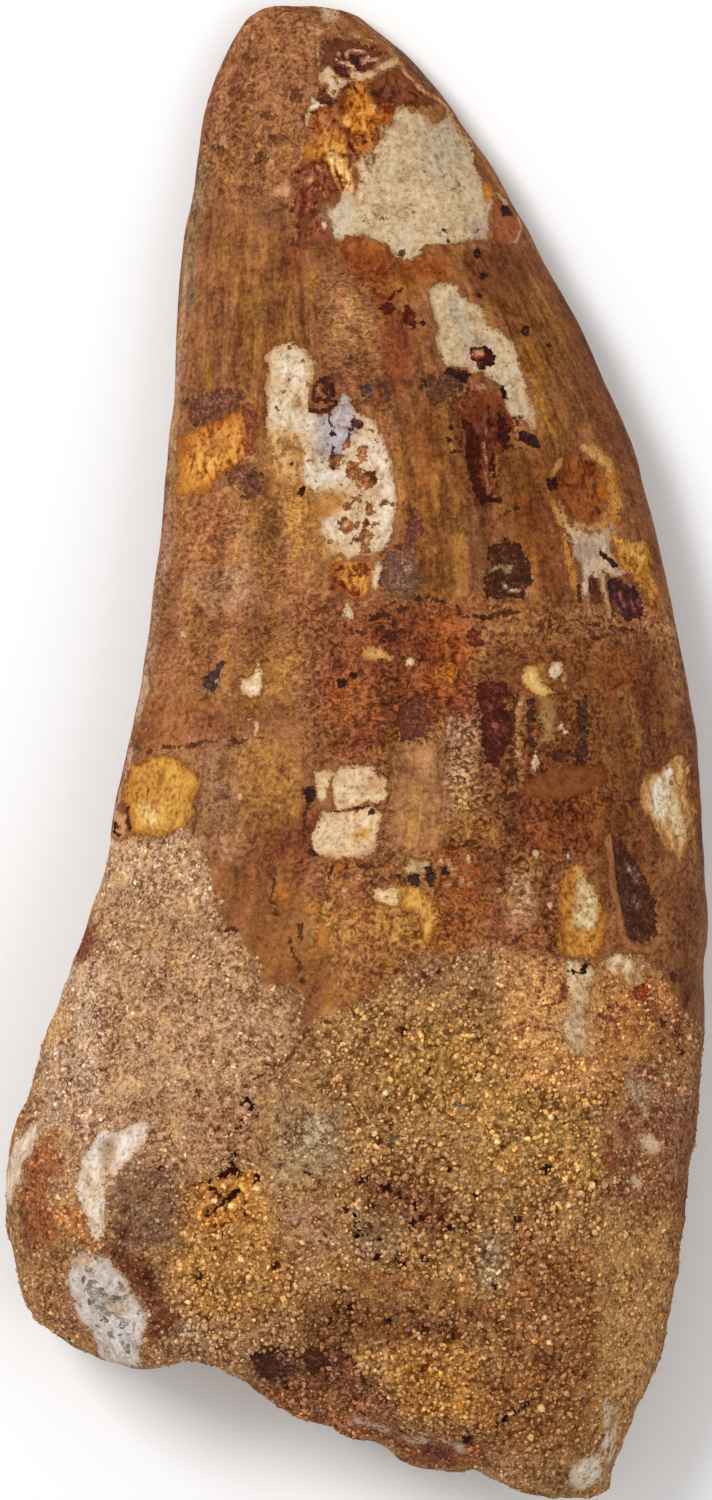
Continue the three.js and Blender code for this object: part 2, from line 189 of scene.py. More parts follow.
# Soft changes of the ground colour: colour, how soft, how strong, shape. A few of them are painted shade.
WASHES = [
    # the crown, from the tip down
    (GRANULAR, 30, 0.9, polygon(195,0, 330,0, 325,110, 300,160, 290,200, 190,200)),
    (ENAMEL, 20, 0.8, polygon(190,160, 300,200, 300,260, 180,300)),
    (PURPLE_BROWN, 14, 0.6, ellipse(266,215, 12,16)),
    (TAN, 10, 0.5, ellipse(236,176, 9,14)),
    (GOLD_BROWN, 24, 0.9, polygon(225,230, 310,240, 320,420, 235,440, 215,330)),
    (GOLD, 8, 0.8, stroke(9, 262,290, 257,340, 250,385, 248,402)),
    (GOLD, 10, 0.7, stroke(12, 287,285, 292,335)),
    (GOLD, 8, 0.6, stroke(7, 238,330, 236,400)),
    (DEEP_BROWN, 8, 0.5, stroke(6, 273,265, 271,330)),
    (DEEP_BROWN, 8, 0.4, stroke(6, 225,290, 222,380)),
    (RED_BROWN, 12, 0.6, polygon(280,235, 310,240, 305,275, 280,270)),
    (ENAMEL, 16, 0.8, polygon(312,270, 380,265, 390,375, 330,400, 312,330)),
    (TAN, 12, 0.6, ellipse(348,322, 26,30)),
    (RUST, 12, 0.9, polygon(335,240, 400,262, 445,250, 450,280, 380,300, 350,270)),
    # painted shade below the big cream patch
    ((150, 80, 30), 5, 0.8, polygon(336,238, 350,236, 366,238, 380,244, 396,256, 384,266, 356,262,
        338,254)),
    (RUST, 10, 0.7, stroke(16, 375,255, 378,290, 395,340, 392,390)),
    (RED_BROWN, 10, 0.8, ellipse(400,350, 14,40)),
    (GOLD, 9, 0.7, ellipse(398,285, 20,6)),
    (CHESTNUT, 14, 0.9, polygon(440,245, 490,245, 530,250, 560,300, 520,330, 470,290)),
    (OLIVE_BROWN, 8, 0.4, ellipse(458,255, 12,8)),
    (GOLD_BROWN, 12, 0.8, polygon(505,290, 560,300, 600,420, 560,450, 525,380)),
    (GOLD, 8, 0.6, stroke(12, 536,280, 545,312)),
    (GOLD, 9, 0.7, stroke(16, 525,350, 535,390, 545,430)),
    (FRONT_BROWN, 16, 0.8, polygon(540,260, 560,280, 640,440, 600,450, 570,360)),
    (CHESTNUT, 16, 0.6, stroke(18, 560,290, 600,390, 640,490, 655,560)),
    (GOLD_BROWN, 14, 0.9, polygon(400,400, 462,400, 465,600, 420,600, 400,520)),
    (GOLD, 8, 0.6, stroke(9, 436,420, 438,590)),
    (GOLD, 8, 0.6, stroke(7, 458,500, 460,592)),
    (RUST, 10, 0.5, stroke(14, 425,430, 428,500)),
    (TAN, 5, 0.6, stroke(6, 388,408, 396,440, 402,500)),
    (GOLD_BROWN, 14, 0.9, polygon(505,450, 560,450, 555,600, 515,560, 500,500)),
    ((122, 68, 30), 12, 0.8, polygon(505,455, 550,455, 552,535, 512,540)),
    (RED_BROWN, 12, 0.5, polygon(520,500, 560,520, 565,600, 540,600)),
    (DEEP_BROWN, 10, 0.6, stroke(18, 480,505, 482,560)),
    (DEEP_BROWN, 8, 0.5, stroke(12, 555,575, 568,600)),
    # the back side below the orange band
    (ENAMEL, 20, 0.9, polygon(180,300, 240,300, 240,400, 170,400)),
    (ORANGE, 14, 0.3, polygon(180,490, 240,495, 240,560, 175,560)),
    (OLIVE_BROWN, 16, 0.7, polygon(235,500, 290,500, 300,600, 225,600)),
    (ENAMEL, 20, 0.8, polygon(160,600, 300,600, 290,740, 140,740)),
    (PURPLE_BROWN, 14, 0.4, stroke(16, 176,540, 168,640)),
    (CLAY, 12, 0.5, ellipse(225,590, 34,24)),
    ((184, 124, 84), 14, 0.5, polygon(180,485, 240,480, 250,560, 178,560)),
    ((184, 128, 70), 10, 0.9, polygon(264,430, 304,434, 306,486, 300,500, 282,494, 266,476)),
    ((192, 132, 74), 12, 0.9, polygon(276,482, 330,488, 336,500, 318,516, 318,540, 330,558, 300,556,
        284,524)),
    ((176, 116, 70), 12, 0.6, polygon(262,556, 334,556, 330,600, 264,600)),
    ((178, 112, 54), 5, 0.5, stroke(7, 384,420, 396,450, 402,480, 402,520)),
    (GOLD, 14, 0.6, polygon(240,640, 295,640, 290,700, 240,720)),
    (RED_BROWN, 12, 0.35, polygon(290,598, 324,598, 320,636, 298,640)),
    (RED_BROWN, 14, 0.4, polygon(140,700, 215,706, 240,736, 190,745, 138,744)),
    # the rough band across the middle
    (RED_BROWN, 20, 0.75, polygon(340,610, 470,600, 480,760, 330,760, 320,690)),
    (ORANGE, 10, 0.3, ellipse(345,700, 20,24)),
    (RUST, 12, 0.6, polygon(425,615, 462,610, 475,640, 462,700, 425,700)),
    (ORANGE, 8, 0.35, ellipse(442,675, 14,10)),
    (ENAMEL, 14, 0.6, polygon(480,612, 600,605, 600,640, 480,650)),
    (CHESTNUT, 20, 0.9, polygon(500,640, 600,640, 610,860, 500,860)),
    (TAN, 6, 0.6, stroke(7, 519,700, 521,786)),
    (FRONT_BROWN, 20, 0.9, polygon(590,630, 690,640, 700,900, 590,900)),
    (RUST, 14, 0.35, polygon(600,650, 640,650, 650,700, 605,700)),
    (TAN, 6, 0.45, stroke(6, 622,690, 634,720, 642,744)),
    (TAN, 5, 0.5, stroke(9, 668,625, 674,660, 680,700)),
    (OLIVE_BROWN, 3, 0.8, stroke(5, 543,664, 544,684)),
    (OCHRE, 5, 0.7, stroke(5, 690,830, 694,850, 695,880)),
    (CLAY, 22, 0.5, polygon(196,744, 240,744, 236,862, 206,850)),
    (GOLD, 16, 0.7, polygon(238,742, 300,742, 300,826, 240,830)),
    (GOLD, 8, 0.5, ellipse(284,798, 9,18)),
    (RED_BROWN, 14, 0.7, polygon(258,826, 310,820, 306,870, 262,866)),
    (RED_BROWN, 10, 0.5, polygon(308,806, 330,808, 318,836, 308,850)),
    (TAN, 16, 0.5, polygon(385,735, 448,730, 448,850, 388,850)),
    (CLAY, 10, 0.7, polygon(448,716, 480,716, 478,810, 446,812)),
    (PURPLE_BROWN, 8, 0.5, polygon(495,800, 520,796, 516,850, 498,850)),
    (GOLD, 10, 0.4, ellipse(500,840, 14,12)),
    (RED_BROWN, 12, 0.6, polygon(520,806, 600,800, 600,850, 530,856)),
    (GOLD_BROWN, 20, 0.7, polygon(210,860, 300,866, 300,980, 262,985, 230,930)),
    ((145, 88, 48), 6, 0.9, polygon(250,926, 296,925, 298,983, 268,983)),
    (ORANGE, 8, 0.35, ellipse(287,890, 13,12)),
    (GOLD, 16, 0.8, polygon(306,905, 440,900, 440,950, 310,950)),
    (ORANGE, 10, 0.5, polygon(418,905, 440,900, 440,944, 424,944)),
    (GOLD, 8, 0.7, ellipse(310,908, 10,8)),
    (OCHRE, 7, 0.7, ellipse(321,940, 6,18)),
    (GOLD_BROWN, 16, 0.7, polygon(305,950, 440,952, 400,985, 345,1010, 305,1000)),
    (RED_BROWN, 12, 0.4, polygon(440,858, 500,852, 500,950, 442,948)),
    (CLAY, 8, 0.7, polygon(506,872, 534,872, 532,932, 508,930)),
    ((100, 50, 30), 8, 0.7, polygon(532,862, 552,864, 552,930, 534,932)),
    ((100, 50, 30), 6, 0.5, stroke(6, 498,866, 500,900, 499,935)),
    (RED_BROWN, 10, 0.5, polygon(500,925, 556,925, 552,955, 505,952)),
    ((110, 62, 38), 10, 0.6, polygon(440,842, 500,842, 500,893, 444,893)),
    (ENAMEL, 14, 0.6, polygon(655,850, 700,850, 700,950, 662,950)),
    # painted shade along the front edge, further down
    (DEEP_BROWN, 14, 0.5, stroke(14, 700,800, 705,960, 702,1080, 690,1180)),
    ((158, 92, 42), 12, 0.6, polygon(432,846, 474,848, 480,880, 476,940, 446,956, 430,930, 446,900,
        434,880)),
    ((112, 64, 34), 14, 0.7, polygon(664,880, 700,880, 704,1000, 672,1000)),
    # a paler band along the back edge
    (RIM_GREY, 5, 0.85, stroke(13, 199,165, 192,240, 188,300)),
    (RIM_PINK, 4, 0.7, stroke(9, 184,300, 177,380, 173,440, 170,500)),
    (RIM_PINK, 5, 0.6, stroke(12, 168,500, 163,560, 154,610, 148,660)),
    (RIM_PINK, 4, 0.9, stroke(9, 147,600, 144,660)),
    (DEEP_BROWN, 4, 0.5, stroke(4, 210,205, 205,270)),
    # the shadowed front edge
    (DEEP_BROWN, 5, 0.7, stroke(7, 400,50, 450,115, 482,170, 512,222, 560,300, 600,375)),
    (DEEP_BROWN, 5, 0.6, stroke(7, 600,375, 640,480, 662,570, 682,650, 697,740, 704,860)),
]

# Crisp patches, in the order that they are painted: colour, raggedness of the edge, relief in mm, shapes.
PATCHES = [
    # tip, cream
    ((182, 148, 112), 4, -0.03, [polygon(317,5, 339,5, 338,20, 332,24, 320,22)]),
    # tip, cream arcs
    ((192, 144, 104), 2.4, 0.03, [stroke(3.4, 309,27, 320,30, 329,28, 336,23), stroke(4.6, 308,35,
        317,34), stroke(2, 317,42, 318,78), stroke(3, 352,32, 361,35, 369,38, 377,42)]),
    # back edge, pale line
    (TAN, 3, 0.02, [stroke(3, 238,30, 240,50, 238,72)]),
    # tip hollow
    ((104, 56, 34), 4, -0.12, [polygon(320,46, 330,40, 345,38, 372,43, 382,52, 378,64, 368,70, 352,71,
        345,79, 336,68, 322,61)]),
    # tip, brown wedge
    ((118, 64, 34), 4, -0.08, [polygon(366,84, 382,74, 396,65, 408,70, 438,103, 420,106, 392,107, 380,105,
        372,96)]),
    # tip, cream band
    ((204, 170, 132), 2.6, -0.06, [polygon(347,73, 350,68, 358,70, 370,70, 378,65, 388,59, 398,57, 400,62,
        390,69, 380,73, 372,77, 362,80, 352,81, 348,78), polygon(319,82, 319,74, 324,68, 330,66, 334,70,
        338,76, 346,79, 354,80, 347,84, 341,88, 338,94, 335,99, 330,96, 326,92, 328,86, 325,84)]),
    # tip, cream bits
    ((206, 178, 142), 2.4, -0.05, [polygon(312,95, 318,101, 326,104, 336,102, 333,107, 322,109, 319,112,
        319,119, 313,124, 310,128, 306,124, 307,115, 310,110, 307,106, 312,104)]),
    # tip, pale curve
    ((192, 138, 98), 2.6, 0.05, [stroke(4, 305,127, 303,140, 302,152, 299,162, 293,170), polygon(286,175,
        290,182, 294,190, 285,198, 272,199, 260,195, 275,188, 282,182), *ellipses(225,142,5,8,
        265,157,4,2), stroke(3, 300,200, 304,212, 308,228), stroke(2.4, 304,236, 330,233)]),
    # tip, red crust
    ((136, 74, 48), 9, 0.06, [polygon(300,162, 322,160, 334,182, 338,200, 324,205, 318,218, 333,228,
        336,240, 300,244, 294,205, 298,186)]),
    # tip, red crust ridges
    ((184, 118, 80), 3, 0.05, [stroke(2.6, 300,170, 310,172, 316,168), stroke(2.6, 302,183, 312,178,
        321,185), stroke(2.6, 318,166, 328,174), stroke(2.4, 308,194, 318,192, 326,198),
        stroke(2.4, 304,208, 314,206), stroke(2.4, 312,221, 320,216)]),
    # orange streak, brown side
    ((156, 90, 44), 7, -0.04, [polygon(312,112, 322,106, 338,104, 344,118, 342,140, 348,152, 330,152,
        312,146, 308,132)]),
    # orange streak, lens
    ((176, 112, 66), 3, -0.02, [*ellipses(327,129,4,9, 312,134,3,7)]),
    # orange streak, foot
    ((192, 124, 54), 7, -0.04, [polygon(303,138, 320,135, 338,130, 350,138, 354,156, 340,162, 324,158,
        302,164)]),
    # orange streak
    ((190, 114, 40), 5, -0.06, [polygon(350,84, 358,80, 366,84, 370,92, 374,104, 380,110, 392,115,
        391,122, 388,127, 382,123, 378,129, 376,136, 374,143, 368,149, 360,153, 352,151, 350,140, 346,131,
        341,128, 341,118, 345,112, 345,98)]),
    # orange streak, light
    ((206, 146, 72), 3, -0.04, [*ellipses(347,94,3.4,6, 346,122,5,5.4, 366,133,5,8, 373,108,4,4,
        359,113,4,4, 361,142,4,3)]),
    # orange streak, cream
    ((208, 152, 84), 5, -0.06, [polygon(322,150, 332,147, 342,150, 350,158, 354,172, 359,188, 364,206,
        352,206, 342,199, 336,190, 330,174, 325,162)]),
    # orange streak, bright
    ((232, 190, 116), 3, -0.04, [stroke(5, 345,168, 346,184), stroke(4, 330,155, 333,168),
        stroke(4, 340,158, 341,172)]),
    # orange streak, deep
    ((128, 56, 18), 3, -0.1, [polygon(339,93, 343,88, 350,84, 347,92, 345,100, 344,112, 340,116, 337,108,
        338,100), polygon(376,104, 392,103, 394,114, 386,113, 380,110), stroke(3, 320,114, 319,124,
        322,136), stroke(6, 347,128, 351,143, 353,158), stroke(3.4, 353,158, 353,170, 357,184, 361,200),
        stroke(2.6, 353,88, 357,95, 364,93, 366,86), stroke(2.6, 351,103, 358,108, 363,112, 365,105),
        stroke(2.6, 354,118, 362,125, 369,122, 381,117), stroke(2.4, 359,134, 364,141, 371,139),
        stroke(2, 334,164, 338,180, 343,190), stroke(2, 326,160, 333,184, 338,192)]),
    # big cream patch
    (CREAM, 3.2, -0.14, [polygon(395,107, 404,104, 412,109, 424,112, 430,121, 438,121, 443,116, 450,116,
        458,121, 466,134, 472,147, 478,155, 474,162, 479,172, 484,182, 492,196, 493,202, 489,212, 492,222,
        490,239, 478,239, 466,240, 450,243, 425,244, 418,251, 412,259, 404,260, 397,256, 390,247, 378,241,
        366,235, 350,234, 335,239, 334,226, 327,215, 336,203, 340,193, 354,196, 358,180, 356,165, 360,155,
        368,150, 378,140, 380,124, 392,122)]),
    # front edge, amber
    ((190, 126, 52), 2.5, -0.05, [ellipse(488,191, 5,11, -10)]),
    # front edge, chip
    ((150, 82, 48), 3, 0.1, [polygon(492,205, 500,202, 510,214, 518,218, 520,232, 512,243, 498,245,
        493,236)]),
    # front edge, chip rim
    (SHELL_PINK, 2.5, 0.1, [stroke(3, 497,195, 505,206), stroke(3, 516,216, 519,230, 515,240, 503,245)]),
    # tip, pale line
    ((204, 154, 112), 2, 0.03, [stroke(3.2, 403,68, 412,77, 425,90, 440,105, 452,116)]),
    # second cream patch
    (CREAM, 3, -0.14, [polygon(425,289, 432,285, 440,283, 450,281, 458,284, 459,292, 466,297, 475,301,
        483,308, 486,318, 490,324, 500,328, 507,337, 513,345, 518,355, 521,370, 525,385, 530,397, 535,410,
        537,420, 541,429, 536,432, 528,427, 521,420, 516,416, 510,414, 505,402, 503,395, 500,385, 492,378,
        480,374, 470,376, 466,369, 450,366, 444,366, 441,355, 438,340, 437,325, 432,310, 428,300)]),
    # maroon wash
    ((120, 56, 28), 8, -0.05, [polygon(457,396, 468,386, 480,386, 492,390, 501,398, 504,410, 511,418,
        513,438, 506,450, 500,456, 495,466, 492,480, 492,496, 478,502, 469,494, 466,470, 463,440,
        458,415)]),
    # back patch
    (BONE, 3.4, -0.14, [polygon(266,352, 270,345, 283,342, 295,346, 305,350, 311,358, 315,368, 312,378,
        309,386, 310,396, 309,408, 318,413, 330,413, 336,404, 342,394, 350,398, 357,410, 366,412, 374,418,
        380,430, 385,446, 390,460, 395,476, 398,495, 396,515, 393,532, 388,545, 378,551, 366,555, 350,557,
        335,553, 325,546, 318,532, 320,516, 328,508, 338,500, 330,492, 315,492, 303,486, 298,470, 301,452,
        296,438, 284,440, 272,448, 265,440, 264,420, 265,400, 266,380)]),
    # back patch, broken edge
    ((202, 156, 100), 14, -0.06, [polygon(266,428, 300,432, 304,470, 306,492, 290,494, 270,484),
        polygon(320,496, 346,494, 336,512, 320,520), polygon(314,530, 330,548, 356,558, 340,566,
        318,552)]),
    # back patch, drip
    (BONE, 3, -0.1, [polygon(374,560, 380,562, 382,575, 378,590, 373,590, 371,578)]),
    # orange band, brown side
    ((170, 102, 46), 6, -0.03, [polygon(222,418, 244,410, 257,422, 258,456, 240,468, 226,474, 228,444)]),
    # orange band
    ((196, 128, 54), 6, -0.05, [polygon(178,436, 196,428, 215,419, 232,413, 244,412, 247,425, 244,440,
        245,455, 238,464, 228,470, 214,480, 204,491, 190,494, 176,492, 178,460)]),
    # orange band, pale tick
    (TAN, 3, 0.02, [*ellipses(252,459,8,4, 226,490,7,5)]),
    # orange cluster
    ((182, 112, 50), 5, -0.06, [polygon(335,562, 355,558, 372,562, 372,580, 374,592, 362,600, 350,600,
        338,592, 331,582, 330,570)]),
    # cream square
    (BONE, 3, -0.08, [polygon(344,600, 352,604, 357,618, 348,622, 342,616)]),
    # tan fleck
    ((200, 150, 92), 4, -0.05, [polygon(360,649, 372,645, 382,648, 392,655, 390,662, 378,663, 365,661)]),
    # front ring, disc
    ((144, 78, 34), 9, -0.06, [polygon(560,462, 575,452, 588,455, 598,461, 605,475, 607,495, 601,512,
        590,524, 575,524, 565,512, 558,495, 558,475)]),
    # front ring, amber side
    ((176, 104, 34), 6, -0.05, [polygon(597,462, 606,474, 608,496, 602,512, 594,500, 598,480)]),
    # front ring, top
    ((204, 156, 92), 5, 0.02, [polygon(549,475, 552,466, 556,460, 563,458, 562,468, 556,476, 551,479),
        polygon(583,446, 591,445, 598,450, 607,457, 613,463, 617,471, 613,476, 608,473, 602,468, 597,463,
        592,459, 585,455)]),
    # front ring, gold side
    ((194, 134, 62), 6, -0.03, [polygon(602,466, 613,474, 621,480, 623,495, 620,510, 615,522, 608,530,
        596,533, 584,531, 586,524, 598,520, 605,510, 608,495, 606,480)]),
    # front ring, back lines
    ((192, 138, 76), 3.4, 0.03, [stroke(4.4, 553,496, 557,512, 562,532), stroke(3.6, 562,503, 567,520),
        stroke(3, 549,484, 553,500), stroke(3, 574,521, 588,526)]),
    # front ring, disc marks
    ((112, 56, 26), 2.6, -0.08, [stroke(2.6, 566,470, 572,480, 568,492), stroke(2.4, 580,462, 586,474,
        582,486), stroke(2.4, 592,470, 596,484), stroke(2.4, 574,496, 582,504, 590,498),
        stroke(2.2, 564,504, 572,514), ellipse(576,488, 4,5)]),
    # front cream
    ((194, 164, 134), 4, -0.1, [polygon(563,521, 572,525, 580,530, 590,532, 600,530, 613,523, 613,540,
        610,550, 618,562, 628,569, 620,577, 606,573, 600,577, 596,584, 591,580, 590,594, 585,599, 581,590,
        583,576, 579,560, 574,546, 567,534)]),
    # front yellow
    ((196, 136, 60), 5, -0.08, [polygon(612,534, 630,540, 649,540, 651,552, 649,566, 655,585, 660,606,
        652,606, 645,588, 636,580, 624,570, 612,556)]),
    # front, ochre strip
    ((188, 128, 60), 3.4, 0.03, [stroke(8, 564,536, 567,556, 572,578, 577,596), stroke(5, 555,500,
        560,518, 563,532)]),
    # front, drips
    ((196, 150, 112), 2.6, 0.02, [stroke(5, 602,578, 606,596, 610,616), stroke(3, 588,600, 590,616)]),
    # seam, pale ledge
    ((182, 128, 74), 4, 0.05, [stroke(4, 452,608, 470,613, 492,613, 506,607, 522,609)]),
    # back, white fleck
    ((226, 198, 158), 3, -0.08, [polygon(256,662, 262,672, 262,690, 256,698, 248,696, 241,690, 241,680,
        250,678, 254,670), ellipse(229,695, 3,3)]),
    # back, pale hook
    ((214, 170, 128), 2.5, 0.03, [stroke(3, 246,720, 257,720), stroke(4, 256,722, 255,737)]),
    # middle, cream pebble
    ((206, 168, 100), 3, 0.06, [polygon(525,668, 530,664, 538,668, 537,676, 545,683, 552,689, 552,694,
        545,697, 535,693, 526,686, 522,678)]),
    # middle, white pebble
    ((222, 202, 176), 2.5, 0.06, [polygon(549,670, 556,660, 562,664, 561,674, 553,680, 549,675)]),
    # middle, tan pebble
    ((172, 130, 84), 3, 0.05, [ellipse(563,680, 4,8)]),
    # ochre square
    ((200, 144, 64), 4, -0.06, [polygon(128,762, 136,765, 150,757, 165,755, 178,758, 190,770, 200,776,
        198,790, 192,800, 193,815, 185,827, 170,832, 150,835, 135,836, 128,832, 128,815, 123,800, 127,785,
        130,775)]),
    # back edge, ochre foot
    ((190, 140, 95), 4, -0.04, [polygon(110,812, 122,810, 128,815, 127,832, 130,837, 115,838, 106,835)]),
    # white square
    ((216, 182, 140), 3, -0.12, [polygon(335,770, 350,765, 372,765, 385,780, 388,795, 380,802, 365,803,
        350,810, 335,814, 331,805, 330,790, 330,778), polygon(315,771, 325,768, 331,772, 329,785, 326,796,
        319,801, 314,792), polygon(322,815, 335,813, 350,812, 372,805, 382,815, 380,825, 378,840, 377,852,
        360,858, 345,857, 325,855, 316,850, 311,838, 314,825)]),
    # front, lower cream
    ((200, 150, 92), 4, -0.1, [polygon(640,790, 645,776, 655,770, 665,765, 672,757, 685,757, 690,770,
        691,790, 693,810, 693,830, 689,850, 680,862, 670,850, 660,835, 652,822, 645,815, 639,802)]),
    # flat brown
    ((124, 68, 34), 3, 0.06, [polygon(515,795, 527,782, 540,774, 555,768, 580,767, 602,764, 607,780,
        590,790, 566,798, 531,798)]),
    # tan column
    ((158, 120, 72), 5, 0.03, [polygon(540,698, 556,698, 555,744, 541,745)]),
    # front, lens border
    ((162, 108, 64), 2.4, 0.03, [stroke(8, 609,838, 610,858, 613,880, 616,905, 619,926, 626,943, 638,950,
        652,949, 661,938)]),
    # back edge, white chip
    ((206, 182, 158), 3, 0.02, [polygon(141,662, 147,666, 147,690, 143,710, 134,728, 129,726, 134,702,
        138,682), stroke(4.6, 130,738, 126,770, 121,792, 114,814)]),
    # lower, orange squiggles, front
    ((186, 104, 52), 3, 0.04, [stroke(3, 438,852, 448,848, 458,852, 468,848), stroke(3, 452,862, 462,868,
        470,862), stroke(3, 444,884, 452,892, 462,888, 470,894), stroke(3, 448,908, 456,902, 464,908),
        stroke(3, 440,922, 450,928, 460,924), stroke(2.6, 476,870, 484,878, 490,872), stroke(2.6, 480,900,
        488,908, 484,918)]),
    # lower, pink crumbs
    ((188, 134, 96), 2.4, 0.06, [*ellipses(447,862,4,4, 459,858,3,4, 452,874,4,3, 464,868,3,3,
        470,884,3,3, 498,892,4,3, 510,902,4,7, 520,918,5,6, 506,886,3,3, 440,858,3,3)]),
    # small sparks
    ((214, 184, 150), 2, 0.0, [*ellipses(562,725,2.6,3, 566,732,2.6,2.4, 535,762,3,8, 536,856,3,4,
        567,857,3,4, 468,860,3,4, 409,661,4.5,4.5, 580,758,2,2.4, 549,905,3,4, 325,227,3,3, 183,635,3,3.6,
        240,795,3,4, 461,882,3,2.4, 448,866,2.6,2)]),
    # lower, grey pebble
    ((186, 154, 106), 4, 0.05, [polygon(404,868, 412,862, 428,862, 431,870, 420,874, 408,876)]),
    # lower white
    ((222, 188, 140), 3, -0.08, [polygon(374,888, 385,886, 392,888, 397,895, 399,900, 396,907, 388,905,
        380,901, 374,895)]),
    # lower yellow dab
    ((202, 148, 70), 4, -0.06, [polygon(396,888, 410,885, 424,890, 427,900, 420,910, 406,911, 399,905),
        polygon(420,904, 432,900, 438,912, 436,932, 428,943, 421,930)]),
    # lower, orange squiggles
    ((196, 132, 66), 4, -0.02, [stroke(4, 328,872, 340,866, 352,870, 362,864), stroke(4, 334,890, 342,880,
        350,884, 356,894, 366,896), stroke(3.4, 368,872, 380,868, 394,872), stroke(3.4, 340,904, 352,901,
        362,905), *ellipses(311,908,7,6, 322,940,5,16)]),
    # lower yellow
    ((186, 126, 52), 5, -0.08, [polygon(563,876, 570,862, 580,864, 586,880, 596,886, 604,905, 606,925,
        603,945, 596,955, 580,959, 564,957, 557,945, 560,920, 557,900)]),
    # crust, cream column
    ((206, 176, 134), 5, -0.05, [polygon(565,962, 575,960, 590,965, 600,975, 591,990, 589,1005, 586,1020,
        588,1040, 587,1050, 578,1053, 570,1048, 562,1035, 556,1026, 567,1015, 572,1000, 566,985)]),
    # crust, cream dab
    ((210, 176, 136), 4, -0.05, [polygon(605,958, 615,952, 625,955, 635,965, 644,972, 646,980, 640,985,
        625,984, 612,976, 604,972)]),
    # back rim, white
    ((190, 150, 128), 5, -0.04, [stroke(9, 142,668, 139,700, 135,720), stroke(4, 129,740, 124,770,
        118,806)]),
    # on the sandstone
    # root, edge white
    ((216, 194, 170), 4, 0.02, [polygon(20,1138, 28,1124, 36,1120, 38,1136, 32,1152, 26,1166, 19,1184,
        12,1204, 4,1208, 4,1180, 10,1160, 13,1148)]),
    # root, white upper
    ((222, 204, 184), 4.5, 0.05, [polygon(104,1130, 113,1133, 117,1140, 113,1150, 110,1165, 109,1180,
        108,1200, 106,1215, 104,1230, 100,1240, 93,1238, 88,1225, 83,1215, 79,1200, 76,1190, 80,1175,
        80,1160, 85,1150, 95,1140), polygon(112,1134, 122,1128, 134,1123, 150,1121, 145,1137, 137,1152,
        128,1162, 119,1176, 112,1194, 108,1180, 110,1160)]),
    # root, white lower
    ((202, 188, 178), 4.5, 0.05, [polygon(72,1258, 85,1253, 95,1254, 108,1259, 120,1268, 129,1280,
        134,1292, 141,1304, 150,1312, 149,1326, 144,1340, 143,1356, 140,1370, 122,1368, 106,1360, 96,1350,
        92,1338, 84,1328, 79,1315, 75,1302, 70,1292, 64,1282, 65,1270)]),
    # root, white bits
    ((190, 168, 148), 2.4, 0.05, [stroke(8, 343,1414, 355,1420, 367,1423), stroke(8, 374,1424, 389,1430),
        stroke(8, 406,1436, 425,1439), stroke(7, 429,1431, 442,1439), stroke(9, 442,1439, 452,1443,
        464,1449)]),
    # root, corner white
    ((210, 194, 170), 4, 0.03, [polygon(570,1463, 585,1455, 598,1456, 604,1478, 592,1488, 578,1492,
        569,1482), stroke(8, 604,1400, 609,1420, 607,1440, 600,1456), stroke(5, 617,1406, 618,1425,
        613,1445, 606,1462), stroke(3, 590,1440, 594,1456)]),
    # root, pale patch
    ((204, 180, 148), 4, 0.03, [polygon(637,1134, 650,1132, 661,1137, 664,1148, 658,1159, 649,1158,
        643,1149), ellipse(637,1182, 6,8), stroke(7, 628,1078, 636,1090, 640,1104, 648,1116)]),
    # root, light dab
    ((196, 156, 120), 5, 0.03, [polygon(155,1110, 165,1103, 178,1102, 172,1110, 160,1114)]),
]

